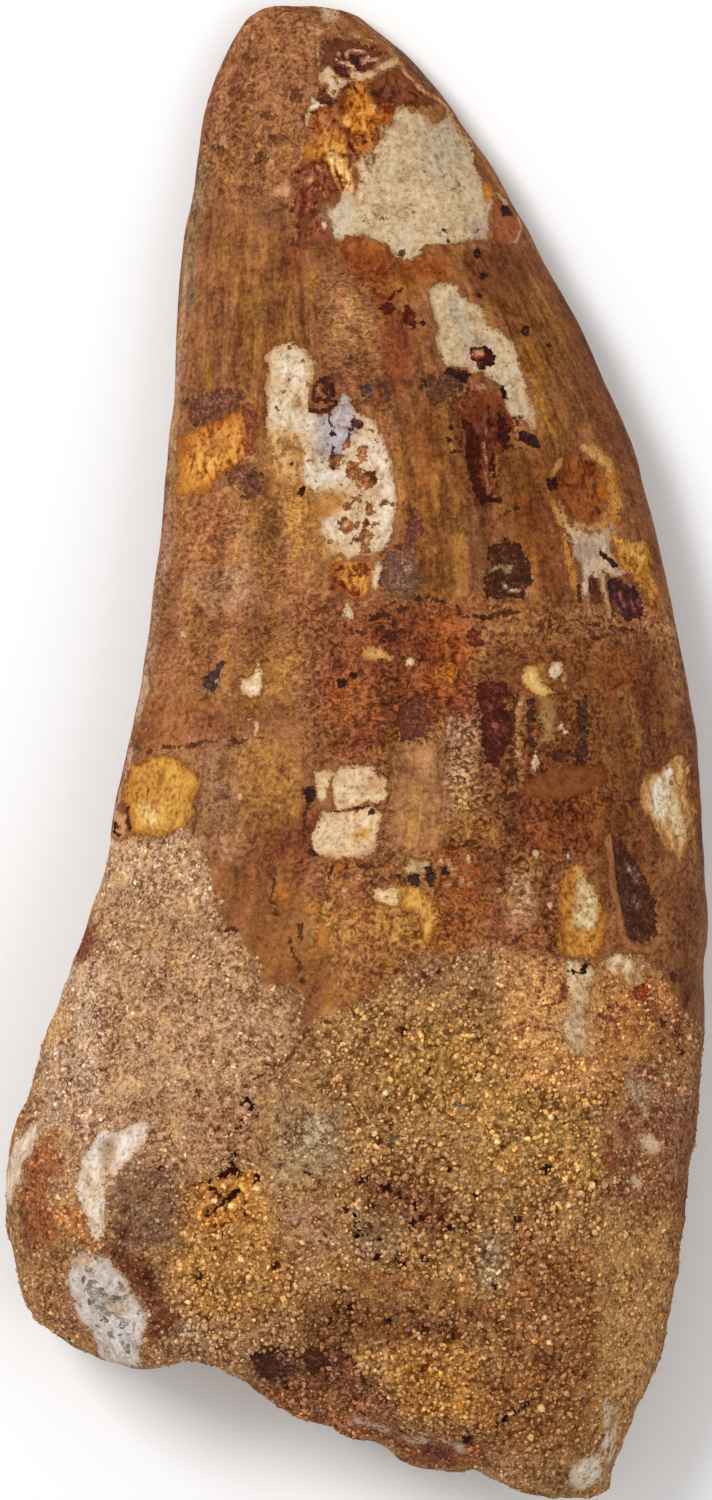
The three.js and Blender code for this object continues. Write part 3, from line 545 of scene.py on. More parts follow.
# Soft tints inside the patches: colour, how soft, how strong, shape.
PATCH_WASHES = [
    ((204, 184, 160), 6, 0.95, polygon(325,206, 332,203, 340,195, 350,192, 354,202, 353,216, 350,230,
        338,236, 334,228, 332,222, 322,218, 326,212)),
    ((200, 158, 110), 7, 0.7, stroke(9, 357,160, 359,185, 362,204)),
    (GREY_BONE, 14, 0.5, ellipse(440,150, 22,24)),
    (BONE, 16, 0.5, ellipse(420,205, 24,20)),
    (GREY_BONE, 9, 0.8, ellipse(480,226, 12,11)),
    (TAN, 6, 0.5, stroke(5, 380,126, 372,150, 362,160)),
    ((92, 48, 38), 7, 0.7, ellipse(386,92, 9,9)),
    (BONE, 8, 0.7, ellipse(444,300, 9,14)),
    ((162, 146, 122), 8, 0.8, stroke(9, 452,298, 460,318, 468,336, 486,344)),
    ((166, 148, 124), 7, 0.7, stroke(6, 512,372, 516,398, 524,410)),
    (BONE, 7, 0.6, stroke(7, 500,345, 510,372, 518,396)),
    ((206, 152, 126), 4, 0.95, polygon(463,382, 470,377, 480,378, 491,377, 494,383, 500,389, 504,398,
        495,393, 485,390, 478,388, 470,383)),
    ((196, 150, 126), 5, 0.7, ellipse(468,362, 5,12)),
    ((146, 80, 48), 6, 0.7, ellipse(480,396, 20,8)),
    ((88, 38, 26), 8, 0.7, ellipse(484,446, 14,40)),
    ((202, 156, 100), 9, 0.7, polygon(262,436, 298,440, 300,470, 300,492, 262,492)),
    ((196, 140, 80), 7, 0.8, polygon(318,496, 348,492, 346,508, 330,514, 318,512)),
    ((206, 158, 96), 7, 0.8, stroke(8, 322,540, 340,550, 356,552)),
    (TAN, 5, 0.6, stroke(4, 265,360, 264,400, 264,440)),
    (IVORY, 8, 0.9, ellipse(304,420, 12,12)),
    (IVORY, 9, 0.8, ellipse(292,366, 13,18)),
    (IVORY, 8, 0.6, ellipse(280,412, 10,18)),
    ((206, 186, 162), 8, 0.9, ellipse(322,472, 18,14)),
    (IVORY, 7, 0.9, ellipse(372,450, 14,10)),
    (IVORY, 8, 0.9, stroke(14, 384,468, 388,490, 386,515, 382,542)),
    (IVORY, 6, 0.9, ellipse(333,527, 7,10)),
    (BONE, 7, 0.9, ellipse(350,549, 16,6)),
    (LILAC, 6, 1.0, polygon(314,416, 336,410, 338,396, 345,393, 352,402, 354,415, 356,428, 352,440,
        345,452, 336,460, 316,456, 313,444, 318,430)),
    ((168, 120, 72), 3, 0.9, ellipse(298,405, 5,7)),
    ((214, 150, 66), 8, 0.9, polygon(190,466, 215,458, 232,456, 222,474, 206,490, 195,490)),
    ((198, 128, 60), 7, 0.8, ellipse(228,428, 14,10, -20)),
    ((152, 80, 36), 6, 0.6, ellipse(212,442, 12,7)),
    ((214, 150, 66), 6, 0.8, ellipse(352,578, 9,4)),
    ((214, 150, 66), 5, 0.7, ellipse(366,592, 4,5)),
    ((208, 164, 104), 5, 0.8, stroke(6, 560,508, 565,524, 572,530)),
    ((168, 142, 124), 6, 0.85, ellipse(587,553, 8,13)),
    (BONE, 6, 0.9, ellipse(606,567, 11,6, 20)),
    (BONE, 6, 0.8, ellipse(582,530, 14,6)),
    ((212, 174, 144), 4, 0.9, ellipse(586,588, 4,10)),
    ((216, 166, 88), 4, 0.8, stroke(4, 617,542, 634,541, 649,545)),
    ((216, 164, 92), 5, 0.7, ellipse(640,555, 7,5)),
    ((176, 110, 42), 4, 0.7, stroke(4, 616,552, 628,558, 644,568)),
    ((208, 156, 82), 8, 0.7, ellipse(150,812, 16,14)),
    ((222, 184, 116), 3, 1.0, polygon(138,806, 145,805, 153,812, 155,822, 150,829, 142,820)),
    ((178, 118, 48), 7, 0.7, ellipse(150,785, 16,14)),
    ((184, 126, 52), 6, 0.6, ellipse(184,798, 9,14)),
    (BONE, 8, 0.8, ellipse(345,785, 13,13)),
    (BONE, 8, 0.8, ellipse(335,835, 16,10)),
    (BONE, 5, 0.8, ellipse(365,846, 10,7)),
    ((196, 140, 60), 3.5, 1.0, polygon(346,834, 355,832, 368,825, 375,828, 370,837, 360,838, 350,835)),
    (TAN, 6, 0.6, ellipse(374,783, 9,10)),
    (TAN, 5, 0.5, stroke(5, 330,852, 345,856, 372,852)),
    (IVORY, 4, 1.0, polygon(652,800, 655,780, 665,768, 672,770, 668,785, 672,800, 668,815, 660,820,
        653,815)),
    ((208, 178, 130), 5, 0.9, polygon(669,785, 680,800, 688,825, 683,848, 672,830, 666,815)),
    ((150, 94, 46), 3, 0.8, stroke(2.6, 672,764, 676,790, 684,806, 690,832)),
    ((208, 178, 128), 4, 1.0, polygon(578,870, 588,878, 596,885, 600,900, 598,925, 590,930, 580,928,
        574,915, 577,895)),
    ((200, 140, 60), 5, 0.9, polygon(562,934, 598,934, 596,956, 566,958)),
    ((150, 84, 36), 3, 0.7, stroke(3, 569,872, 570,900, 564,940)),
    ((150, 84, 36), 3, 0.6, stroke(2.4, 576,870, 575,905, 572,950)),
    ((198, 148, 86), 5, 0.9, polygon(612,974, 640,974, 642,985, 620,984)),
    (GREY_BONE, 6, 0.8, polygon(96,1140, 120,1132, 112,1160, 100,1170)),
    (BONE, 7, 0.7, ellipse(94,1190, 8,24)),
    ((204, 196, 188), 8, 0.8, ellipse(118,1345, 18,9)),
    ((160, 146, 134), 6, 0.7, ellipse(105,1303, 16,10, 30)),
    ((206, 174, 130), 6, 0.6, ellipse(116,1312, 9,6)),
    ((196, 158, 112), 5, 0.8, ellipse(80,1262, 12,6)),
    ((205, 175, 145), 7, 0.8, ellipse(576,1026, 9,14)),
]

# Spots, streaks and holes over the patches and the sandstone, most of them dark, in the same form. A few
# are painted shade, and the glints are painted highlights.
SPOTS = [
    # tip, dark core
    ((74, 32, 24), 3, -0.2, [polygon(338,52, 350,54, 360,52, 374,56, 364,64, 356,68, 346,66, 340,60),
        ellipse(343,71, 6,5, 40)]),
    # tip, swirls
    ((206, 150, 126), 2, 0.02, [stroke(3.6, 337,53, 342,56, 346,55, 350,51, 356,50, 365,50, 369,53),
        stroke(3.2, 337,60, 343,62, 350,66, 355,67), stroke(4.6, 362,60, 368,57, 378,58)]),
    # tip, notch
    ((84, 42, 26), 2.6, -0.12, [polygon(319,86, 326,92, 331,97, 337,101, 333,105, 322,104, 317,97),
        stroke(2, 310,111, 315,112), stroke(2, 311,126, 316,127)]),
    # tip, crust pits
    ((122, 74, 46), 6, -0.08, [*ellipses(250,60,5,3, 283,52,4,3, 232,108,5,4, 270,118,6,4, 296,96,4,5,
        222,152,3,3, 261,160,5,3, 252,88,4,3, 280,140,5,3, 310,170,5,5, 318,196,5,4, 306,222,4,5)]),
    # specks in cream
    ((96, 70, 48), 2, -0.12, [*ellipses(402,252,3,5, 445,228,2.2,2.6, 448,238,2.2,3, 383,219,4,2,
        412,217,1.5,1.5, 478,230,3,2.5, 380,182,2,2, 424,168,1.6,1.6, 455,186,1.6,1.6, 398,196,1.6,1.6)]),
    # small dark dots
    (BLACK_BROWN, 2, -0.15, [*ellipses(478,252,3.5,4.5, 482,276,4,3, 481,295,2.6,2.4), ellipse(527,331,
        4,6, 30), *ellipses(549,345,3,3, 423,323,3,2.6, 422,344,2,2, 288,464,2,2, 301,490,3.4,3,
        332,432,3.6,3.4, 275,637,2.4,2, 352,676,4,3.4, 340,583,2.8,2.8, 450,440,3,3, 456,452,4,3,
        452,428,3,3, 340,685,5,5, 115,826,3,3, 117,833,3,2)]),
    # dark red spot
    ((80, 24, 16), 3, -0.15, [ellipse(409,318, 6,11, -15), ellipse(388,309, 7,6), stroke(3, 384,303,
        392,294, 402,290)]),
    # chip, dark
    (BLACK_BROWN, 2.5, -0.12, [polygon(500,208, 508,206, 514,213, 504,216)]),
    # cream, red ring
    ((60, 24, 16), 2.2, -0.22, [polygon(471,359, 470,352, 474,346, 480,348, 488,347, 495,352, 495,361,
        492,366, 486,365, 484,371, 479,370, 476,363)]),
    # cream, red ring core
    ((176, 108, 84), 2, -0.15, [*ellipses(476,351,4,3.4, 482,352,3,3)]),
    # cream, dark foot
    ((48, 24, 16), 3, -0.15, [polygon(443,371, 450,366, 455,369, 466,370, 473,375, 466,381, 455,378,
        448,377), *ellipses(435,397,4,6, 446,385,4,4, 427,384,3,3, 440,390,3,3, 455,387,4,3),
        stroke(3.4, 502,386, 505,396), ellipse(521,417, 4.6,3, 30)]),
    # cream, dark speckle
    ((96, 60, 42), 10, -0.06, [polygon(424,380, 452,374, 468,384, 458,402, 430,404)]),
    # maroon core
    ((64, 24, 13), 4, -0.15, [polygon(461,418, 470,418, 476,426, 480,445, 481,470, 484,486, 488,497,
        480,502, 472,492, 468,470, 466,440), polygon(499,414, 508,425, 511,440, 505,449, 498,441,
        496,425), stroke(4, 489,408, 490,430), stroke(4, 495,446, 492,462, 496,474), stroke(5, 486,498,
        500,500)]),
    # maroon, light stripes
    ((146, 92, 66), 2.4, 0.02, [stroke(2.6, 487,410, 486,440), stroke(4.6, 484,444, 485,470, 487,492),
        stroke(2.2, 493,406, 494,420), stroke(2.4, 461,420, 466,450, 467,480, 473,497),
        stroke(2.2, 470,400, 472,412), stroke(2.2, 480,398, 481,410)]),
    # purple spot
    ((58, 27, 23), 2.6, -0.2, [polygon(519,433, 530,432, 537,435, 541,442, 540,448, 532,448, 527,443,
        520,440)]),
    # back patch, dark ring
    ((66, 34, 24), 2.2, -0.2, [stroke(5, 313,388, 318,381, 326,378, 331,384, 331,395, 325,400, 315,399,
        312,393), stroke(4.6, 324,380, 325,394), stroke(5, 311,408, 318,412, 327,410, 333,403)]),
    # back patch, ring core
    ((136, 86, 58), 2, -0.1, [*ellipses(318,389,3,5, 329,404,3,2)]),
    # back patch, brown arc
    ((122, 72, 42), 2.4, -0.08, [stroke(4, 331,381, 335,376, 342,378, 345,384), stroke(3.6, 352,402,
        362,402, 375,401, 385,397, 389,391), *ellipses(384,407,8,5, 357,408,5,4)]),
    # back patch, grey blob
    ((90, 60, 52), 3, -0.1, [polygon(361,385, 370,383, 375,388, 375,396, 366,398, 361,392),
        stroke(4, 380,382, 387,388, 388,396)]),
    # back patch, plum dots
    ((88, 54, 56), 2.2, -0.12, [*ellipses(358,424,4.4,5, 353,418,2.4,3), stroke(2.6, 330,413, 331,424),
        stroke(2.6, 333,443, 332,457), stroke(3, 349,428, 346,442)]),
    # back patch, plum core
    ((48, 30, 42), 2.2, -0.15, [ellipse(333,432, 4.4,3.4)]),
    # back patch, brown pits
    ((148, 94, 58), 2.6, -0.14, [*ellipses(361,454,5.4,8, 332,465,6,4.4, 338,458,4,3, 351,469,8,8,
        363,480,10,10, 370,510,5,6, 345,505,5,5, 343,525,6.4,9, 353,525,3.6,5, 366,523,6,5, 365,536,9,6,
        364,550,5,4, 345,445,4,5, 356,498,5,4, 384,500,4,4, 376,524,3,3, 351,540,4,3)]),
    # back patch, pit rims
    ((206, 166, 122), 2.4, 0.02, [stroke(2, 356,480, 360,487, 368,488), stroke(2, 340,520, 344,528),
        stroke(2, 359,536, 366,540), stroke(2, 346,466, 350,472)]),
    # back patch, dark pits
    ((80, 44, 26), 2.2, -0.18, [polygon(362,468, 370,468, 374,476, 373,486, 369,484, 368,475, 362,474),
        *ellipses(338,521,3.4,2.6, 368,523,3,3, 301,492,4,3.4, 330,467,3,2, 289,464,2.4,2.4)]),
    # back patch, specks
    ((150, 110, 76), 2, -0.08, [*ellipses(283,392,3,2, 276,410,2,3, 290,350,2,2, 303,362,2,3, 280,440,3,2,
        308,462,3,2, 340,484,2,2, 381,478,2,3, 392,503,2,2, 330,540,3,2, 375,445,2,3, 285,380,2,2,
        306,384,2,3, 372,432,3,2, 386,462,2,3, 380,520,3,2)]),
    # orange, purple shade above
    ((104, 64, 48), 8, -0.02, [polygon(188,402, 200,396, 215,392, 238,388, 242,400, 225,410, 210,416,
        195,421, 188,415)]),
    # orange, red side
    ((142, 78, 50), 5, -0.02, [stroke(9, 249,408, 250,430, 250,452)]),
    # orange, purple shade below
    ((108, 66, 50), 8, -0.04, [polygon(226,476, 240,466, 255,470, 262,480, 258,496, 248,500, 240,490,
        229,483)]),
    # orange cluster, dark
    ((122, 60, 22), 3, -0.1, [ellipse(360,568, 9,5), stroke(3, 341,567, 338,575, 333,586),
        stroke(3, 346,590, 352,594, 358,593), stroke(2.4, 350,578, 358,582, 366,578), ellipse(340,583,
        3,3)]),
    # dark crevice
    ((74, 38, 22), 4, -0.12, [*ellipses(386,630,7,4, 379,626,4,3, 390,638,5,3, 401,608,6,4),
        stroke(4, 418,598, 436,600, 450,603), stroke(3, 372,618, 384,616, 398,622)]),
    # seam, shadow
    ((88, 48, 26), 3, -0.15, [stroke(3.4, 455,606, 465,617, 485,618, 503,613, 520,614),
        stroke(2.4, 350,634, 370,632, 384,630), stroke(2.6, 590,625, 620,628, 640,630, 660,622)]),
    # plum streak
    ((104, 60, 48), 4, -0.05, [polygon(413,504, 420,512, 422,530, 416,545, 406,556, 402,545, 406,530,
        410,520)]),
    # plum speckle
    ((110, 78, 62), 10, -0.05, [polygon(386,552, 416,548, 420,580, 410,600, 388,598, 384,575)]),
    # dark cluster
    ((72, 38, 24), 6, -0.15, [polygon(490,546, 505,541, 520,546, 530,560, 533,580, 528,592, 515,598,
        500,595, 490,597, 484,590, 486,575, 492,566, 488,555)]),
    # dark cluster, glints
    ((156, 134, 104), 2.4, -0.05, [stroke(2.6, 490,571, 500,566, 512,569), stroke(2.6, 500,576, 516,579),
        stroke(2.6, 504,586, 520,590), stroke(2, 498,556, 510,555)]),
    # front dot
    ((66, 28, 16), 2.4, -0.25, [ellipse(554,484, 6,6), stroke(3, 548,479, 552,481)]),
    # front, dark lines
    ((62, 40, 24), 2.4, -0.1, [stroke(4.4, 599,554, 606,558, 615,566), stroke(2, 488,501, 501,505),
        stroke(2.6, 500,516, 510,511, 520,508)]),
    # front, plum hole
    ((68, 32, 30), 3, -0.2, [polygon(607,580, 616,579, 625,584, 636,590, 645,600, 646,611, 640,618,
        628,619, 620,611, 612,599)]),
    # front, plum glint
    ((138, 86, 74), 2, -0.1, [stroke(3, 621,592, 627,604), stroke(2.4, 614,600, 622,612),
        stroke(2, 634,600, 638,610)]),
    # front, dark bars
    ((96, 48, 32), 3, -0.12, [stroke(8, 594,582, 597,602), stroke(3.6, 612,600, 614,616),
        stroke(4, 578,588, 579,602)]),
    # middle, red spot
    ((96, 42, 24), 3, -0.15, [polygon(468,630, 480,631, 482,642, 475,646, 468,640)]),
    # back, blue-brown spot
    ((72, 48, 46), 2.4, -0.08, [polygon(220,660, 223,664, 220,680, 216,690, 207,691, 203,687, 206,680,
        212,670)]),
    # back, spot glints
    ((196, 160, 130), 1.6, 0, [*ellipses(217,680,2,1.6, 222,671,1.6,1.4, 206,693,2,1.4)]),
    # back, dark hole
    ((56, 26, 24), 2.4, -0.3, [ellipse(309,792, 5.5,7.5)]),
    # back, line below
    ((84, 44, 26), 2.6, -0.08, [stroke(2.6, 307,800, 305,815, 303,835, 312,852), stroke(2.6, 335,813,
        350,810, 372,805), stroke(2.4, 126,808, 128,830), ellipse(370,812, 3,3), stroke(2, 306,838,
        318,854)]),
    # back, old crack
    ((104, 60, 36), 3, -0.06, [stroke(2.6, 134,746, 150,752, 162,747, 182,745, 202,742, 240,742, 262,739),
        ellipse(229,930, 7,3)]),
    # middle, maroon block
    ((74, 30, 21), 4, -0.1, [polygon(475,684, 505,682, 508,715, 515,716, 513,730, 510,745, 505,760,
        495,770, 488,765, 485,750, 482,730, 480,712, 475,700)]),
    # middle, maroon glints
    ((140, 84, 66), 2.4, -0.02, [stroke(2.4, 490,706, 493,722), stroke(2, 497,728, 499,744)]),
    # middle, plum swirl
    ((100, 54, 40), 12, -0.05, [polygon(402,708, 418,697, 430,705, 428,735, 402,738, 398,722)]),
    # middle, dark column
    ((74, 42, 32), 5, -0.08, [stroke(9, 582,702, 584,735, 583,762), stroke(7, 532,706, 531,744),
        stroke(8, 551,755, 588,757)]),
    # middle, worm lines
    ((116, 76, 46), 3, -0.08, [stroke(2.2, 451,724, 457,729, 463,724, 470,727), stroke(2.2, 474,733,
        468,738, 471,745), stroke(2.2, 449,741, 455,747, 462,743), stroke(2.4, 452,759, 458,754, 466,757,
        474,753), stroke(2.2, 476,763, 470,769, 462,766), stroke(2.4, 449,772, 455,778, 463,775, 467,781),
        stroke(2.2, 472,786, 476,792, 471,797), stroke(2.2, 450,789, 457,793, 455,800, 463,803)]),
    # middle, box foot
    ((92, 50, 28), 3, -0.06, [stroke(3, 515,700, 514,740, 512,785), stroke(3, 478,797, 512,796)]),
    # front, line
    ((88, 46, 26), 2.6, -0.06, [stroke(2.6, 602,798, 622,801, 640,799), ellipse(625,807, 4,3)]),
    # lower dark spots
    ((62, 42, 34), 4, -0.12, [*ellipses(413,880,7,6, 432,880,5,7, 428,869,3,3, 445,871,4,4,
        400,876,3,3)]),
    # lower, brown lines
    ((100, 54, 28), 3, -0.1, [stroke(3, 273,880, 271,900, 276,915), stroke(2.6, 293,935, 291,955,
        298,962), stroke(3, 300,925, 303,940), stroke(2.4, 330,866, 326,890, 334,912),
        stroke(2.4, 345,868, 362,864, 384,868), stroke(2.4, 300,965, 302,985), stroke(3, 480,842, 466,846,
        440,848)]),
    # lower, pale crumbs
    ((182, 128, 84), 3, 0.06, [*ellipses(440,862,4,4, 452,868,5,4, 462,880,4,4, 448,884,4,3, 392,868,4,3,
        360,876,4,4, 372,872,3,4, 345,890,4,4, 540,872,3,5, 553,888,3,4)]),
    # front, purple lens
    ((76, 42, 28), 3, -0.15, [polygon(614,834, 619,840, 627,851, 637,862, 648,877, 656,900, 659,920,
        657,935, 648,942, 636,941, 627,935, 623,920, 621,900, 618,875, 614,855)]),
    # front, lens glints
    ((122, 92, 88), 2.4, -0.05, [stroke(3, 630,862, 634,873, 637,886), stroke(2, 637,866, 640,874),
        stroke(2.6, 634,898, 640,908)]),
    # front, black mark
    ((46, 22, 14), 2.4, -0.15, [polygon(571,971, 578,968, 582,966, 585,961, 590,960, 588,965, 588,973,
        583,975, 580,972, 572,973)]),
    # front, red dot
    ((146, 68, 34), 3, -0.1, [polygon(636,986, 645,982, 652,985, 658,990, 650,995, 645,999, 636,998,
        632,993)]),
    # front, dots
    ((92, 44, 28), 3, -0.1, [*ellipses(614,1006,5,3.4, 672,975,3,5, 666,1022,4,5, 678,1034,4,4,
        662,1042,4,3, 684,1002,3,4, 682,1052,3,5)]),
    # front, red mottles
    ((156, 92, 60), 8, -0.04, [ellipse(608,1018, 8,5), ellipse(626,1010, 7,5, 30), *ellipses(636,1026,6,5,
        620,1034,7,3, 610,1160,8,12, 630,1132,8,7, 655,1010,6,8)]),
    # root, grey veins in the white
    ((164, 152, 142), 2, -0.06, [stroke(5, 95,1280, 91,1290, 100,1298), stroke(5, 107,1296, 118,1301,
        130,1295), stroke(5, 99,1307, 108,1313), stroke(5, 115,1316, 125,1322, 137,1324),
        stroke(5, 86,1269, 95,1272), stroke(5, 138,1313, 146,1310), stroke(5, 108,1334, 120,1337),
        stroke(5, 120,1282, 124,1290), stroke(5, 124,1346, 134,1350)]),
    # crust, red loop
    ((152, 84, 50), 3.4, -0.08, [stroke(5, 545,963, 541,985, 540,1000, 546,1010, 556,1006, 562,1000,
        566,990, 564,975)]),
    # crust, black hole
    ((50, 20, 12), 2.2, -0.35, [stroke(6, 240,1104, 249,1098, 252,1107, 260,1115), stroke(4, 247,1113,
        240,1125, 236,1131)]),
    # crust, crack
    ((118, 74, 46), 3, -0.15, [stroke(3.6, 335,1020, 310,1030, 300,1045, 285,1058, 270,1068, 255,1080,
        236,1090), ellipse(198,1095, 4,4)]),
    # crust, grain pit
    ((64, 24, 12), 2.4, -0.4, [stroke(7, 233,1153, 231,1165, 226,1172, 217,1179), stroke(6, 235,1171,
        241,1181), stroke(7, 199,1181, 210,1190, 216,1196), stroke(7, 221,1206, 230,1198, 239,1192),
        stroke(6, 209,1215, 217,1210), *ellipses(257,1179,4,6, 212,1246,4,4), ellipse(275,1266, 5,8, -20),
        *ellipses(200,1274,4,5, 246,1214,4,5, 222,1230,4,4)]),
    # crust, pit dots
    ((64, 28, 18), 2.2, -0.35, [*ellipses(362,1180,6,4, 385,1190,9,6, 400,1198,8,4, 413,1207,5,5,
        413,1227,6,7, 423,1218,4,4, 442,1217,4,5, 449,1229,7,5, 469,1232,5,5, 345,1208,4,7,
        397,1256,3.4,5, 405,1264,5,3.4, 425,1258,5,4, 377,1258,4,8, 495,1288,4,4, 158,1170,6,5,
        637,1377,3.4,3.4, 502,1150,4,6, 545,1170,7,5, 307,1170,4,6), ellipse(405,1030, 5,6, 30),
        *ellipses(376,1240,5,4, 372,1206,5,4, 432,1068,4,5, 450,1172,4,4, 520,1222,5,4, 475,1196,4,4,
        350,1310,6,4, 388,1322,7,4, 424,1330,6,4, 330,1324,6,5, 456,1338,6,4)]),
    # crust, grey pebbles
    ((112, 96, 76), 2.4, 0.1, [*ellipses(460,1103,8,5, 396,1141,6,6)]),
    # root, grey dots in the white
    ((128, 116, 108), 3, -0.06, [*ellipses(100,1290,4,3, 116,1298,4,2.4, 92,1300,3,4, 108,1320,4,3,
        124,1326,3,3, 98,1326,2.6,3, 84,1280,3,2.4, 128,1344,3,2)]),
    # ledge, shade under the brink
    ((78, 44, 30), 4, -0.1, [stroke(7, 250,1355, 275,1353, 300,1352, 325,1351, 343,1353, 354,1363),
        polygon(252,1360, 270,1358, 283,1366, 276,1381, 260,1376), polygon(300,1357, 322,1355, 330,1365,
        316,1375, 304,1370), stroke(5, 360,1374, 372,1390, 384,1402)]),
    # crust, lower pit
    ((60, 26, 16), 3.2, -0.3, [stroke(6, 505,1420, 515,1412, 525,1408, 535,1402), stroke(4, 494,1425,
        504,1421), *ellipses(468,1440,6,5, 545,1366,3,6, 562,1471,5,3), stroke(3.4, 396,1428, 412,1431)]),
]

# Where sandstone covers the tooth.
CRUST = polygon(
    60,838, 108,838, 150,839, 170,834, 185,828, 190,830, 203,843, 207,860, 212,875, 208,885, 215,895,
    219,905, 217,915, 225,925, 240,935, 248,945, 252,952, 262,962, 263,985, 275,983, 290,985, 299,985,
    303,1004, 300,1034, 307,1030, 314,1020, 330,1014, 350,1012, 355,1004, 383,987, 403,973, 405,956,
    430,954, 450,957, 464,951, 489,950, 494,938, 505,948, 524,952, 545,950, 562,958, 600,960, 612,948,
    640,958, 662,976, 680,1006, 712,1036, 760,1600, -60,1600, -60,900
)
CRUST_SOFTNESS = 6.0
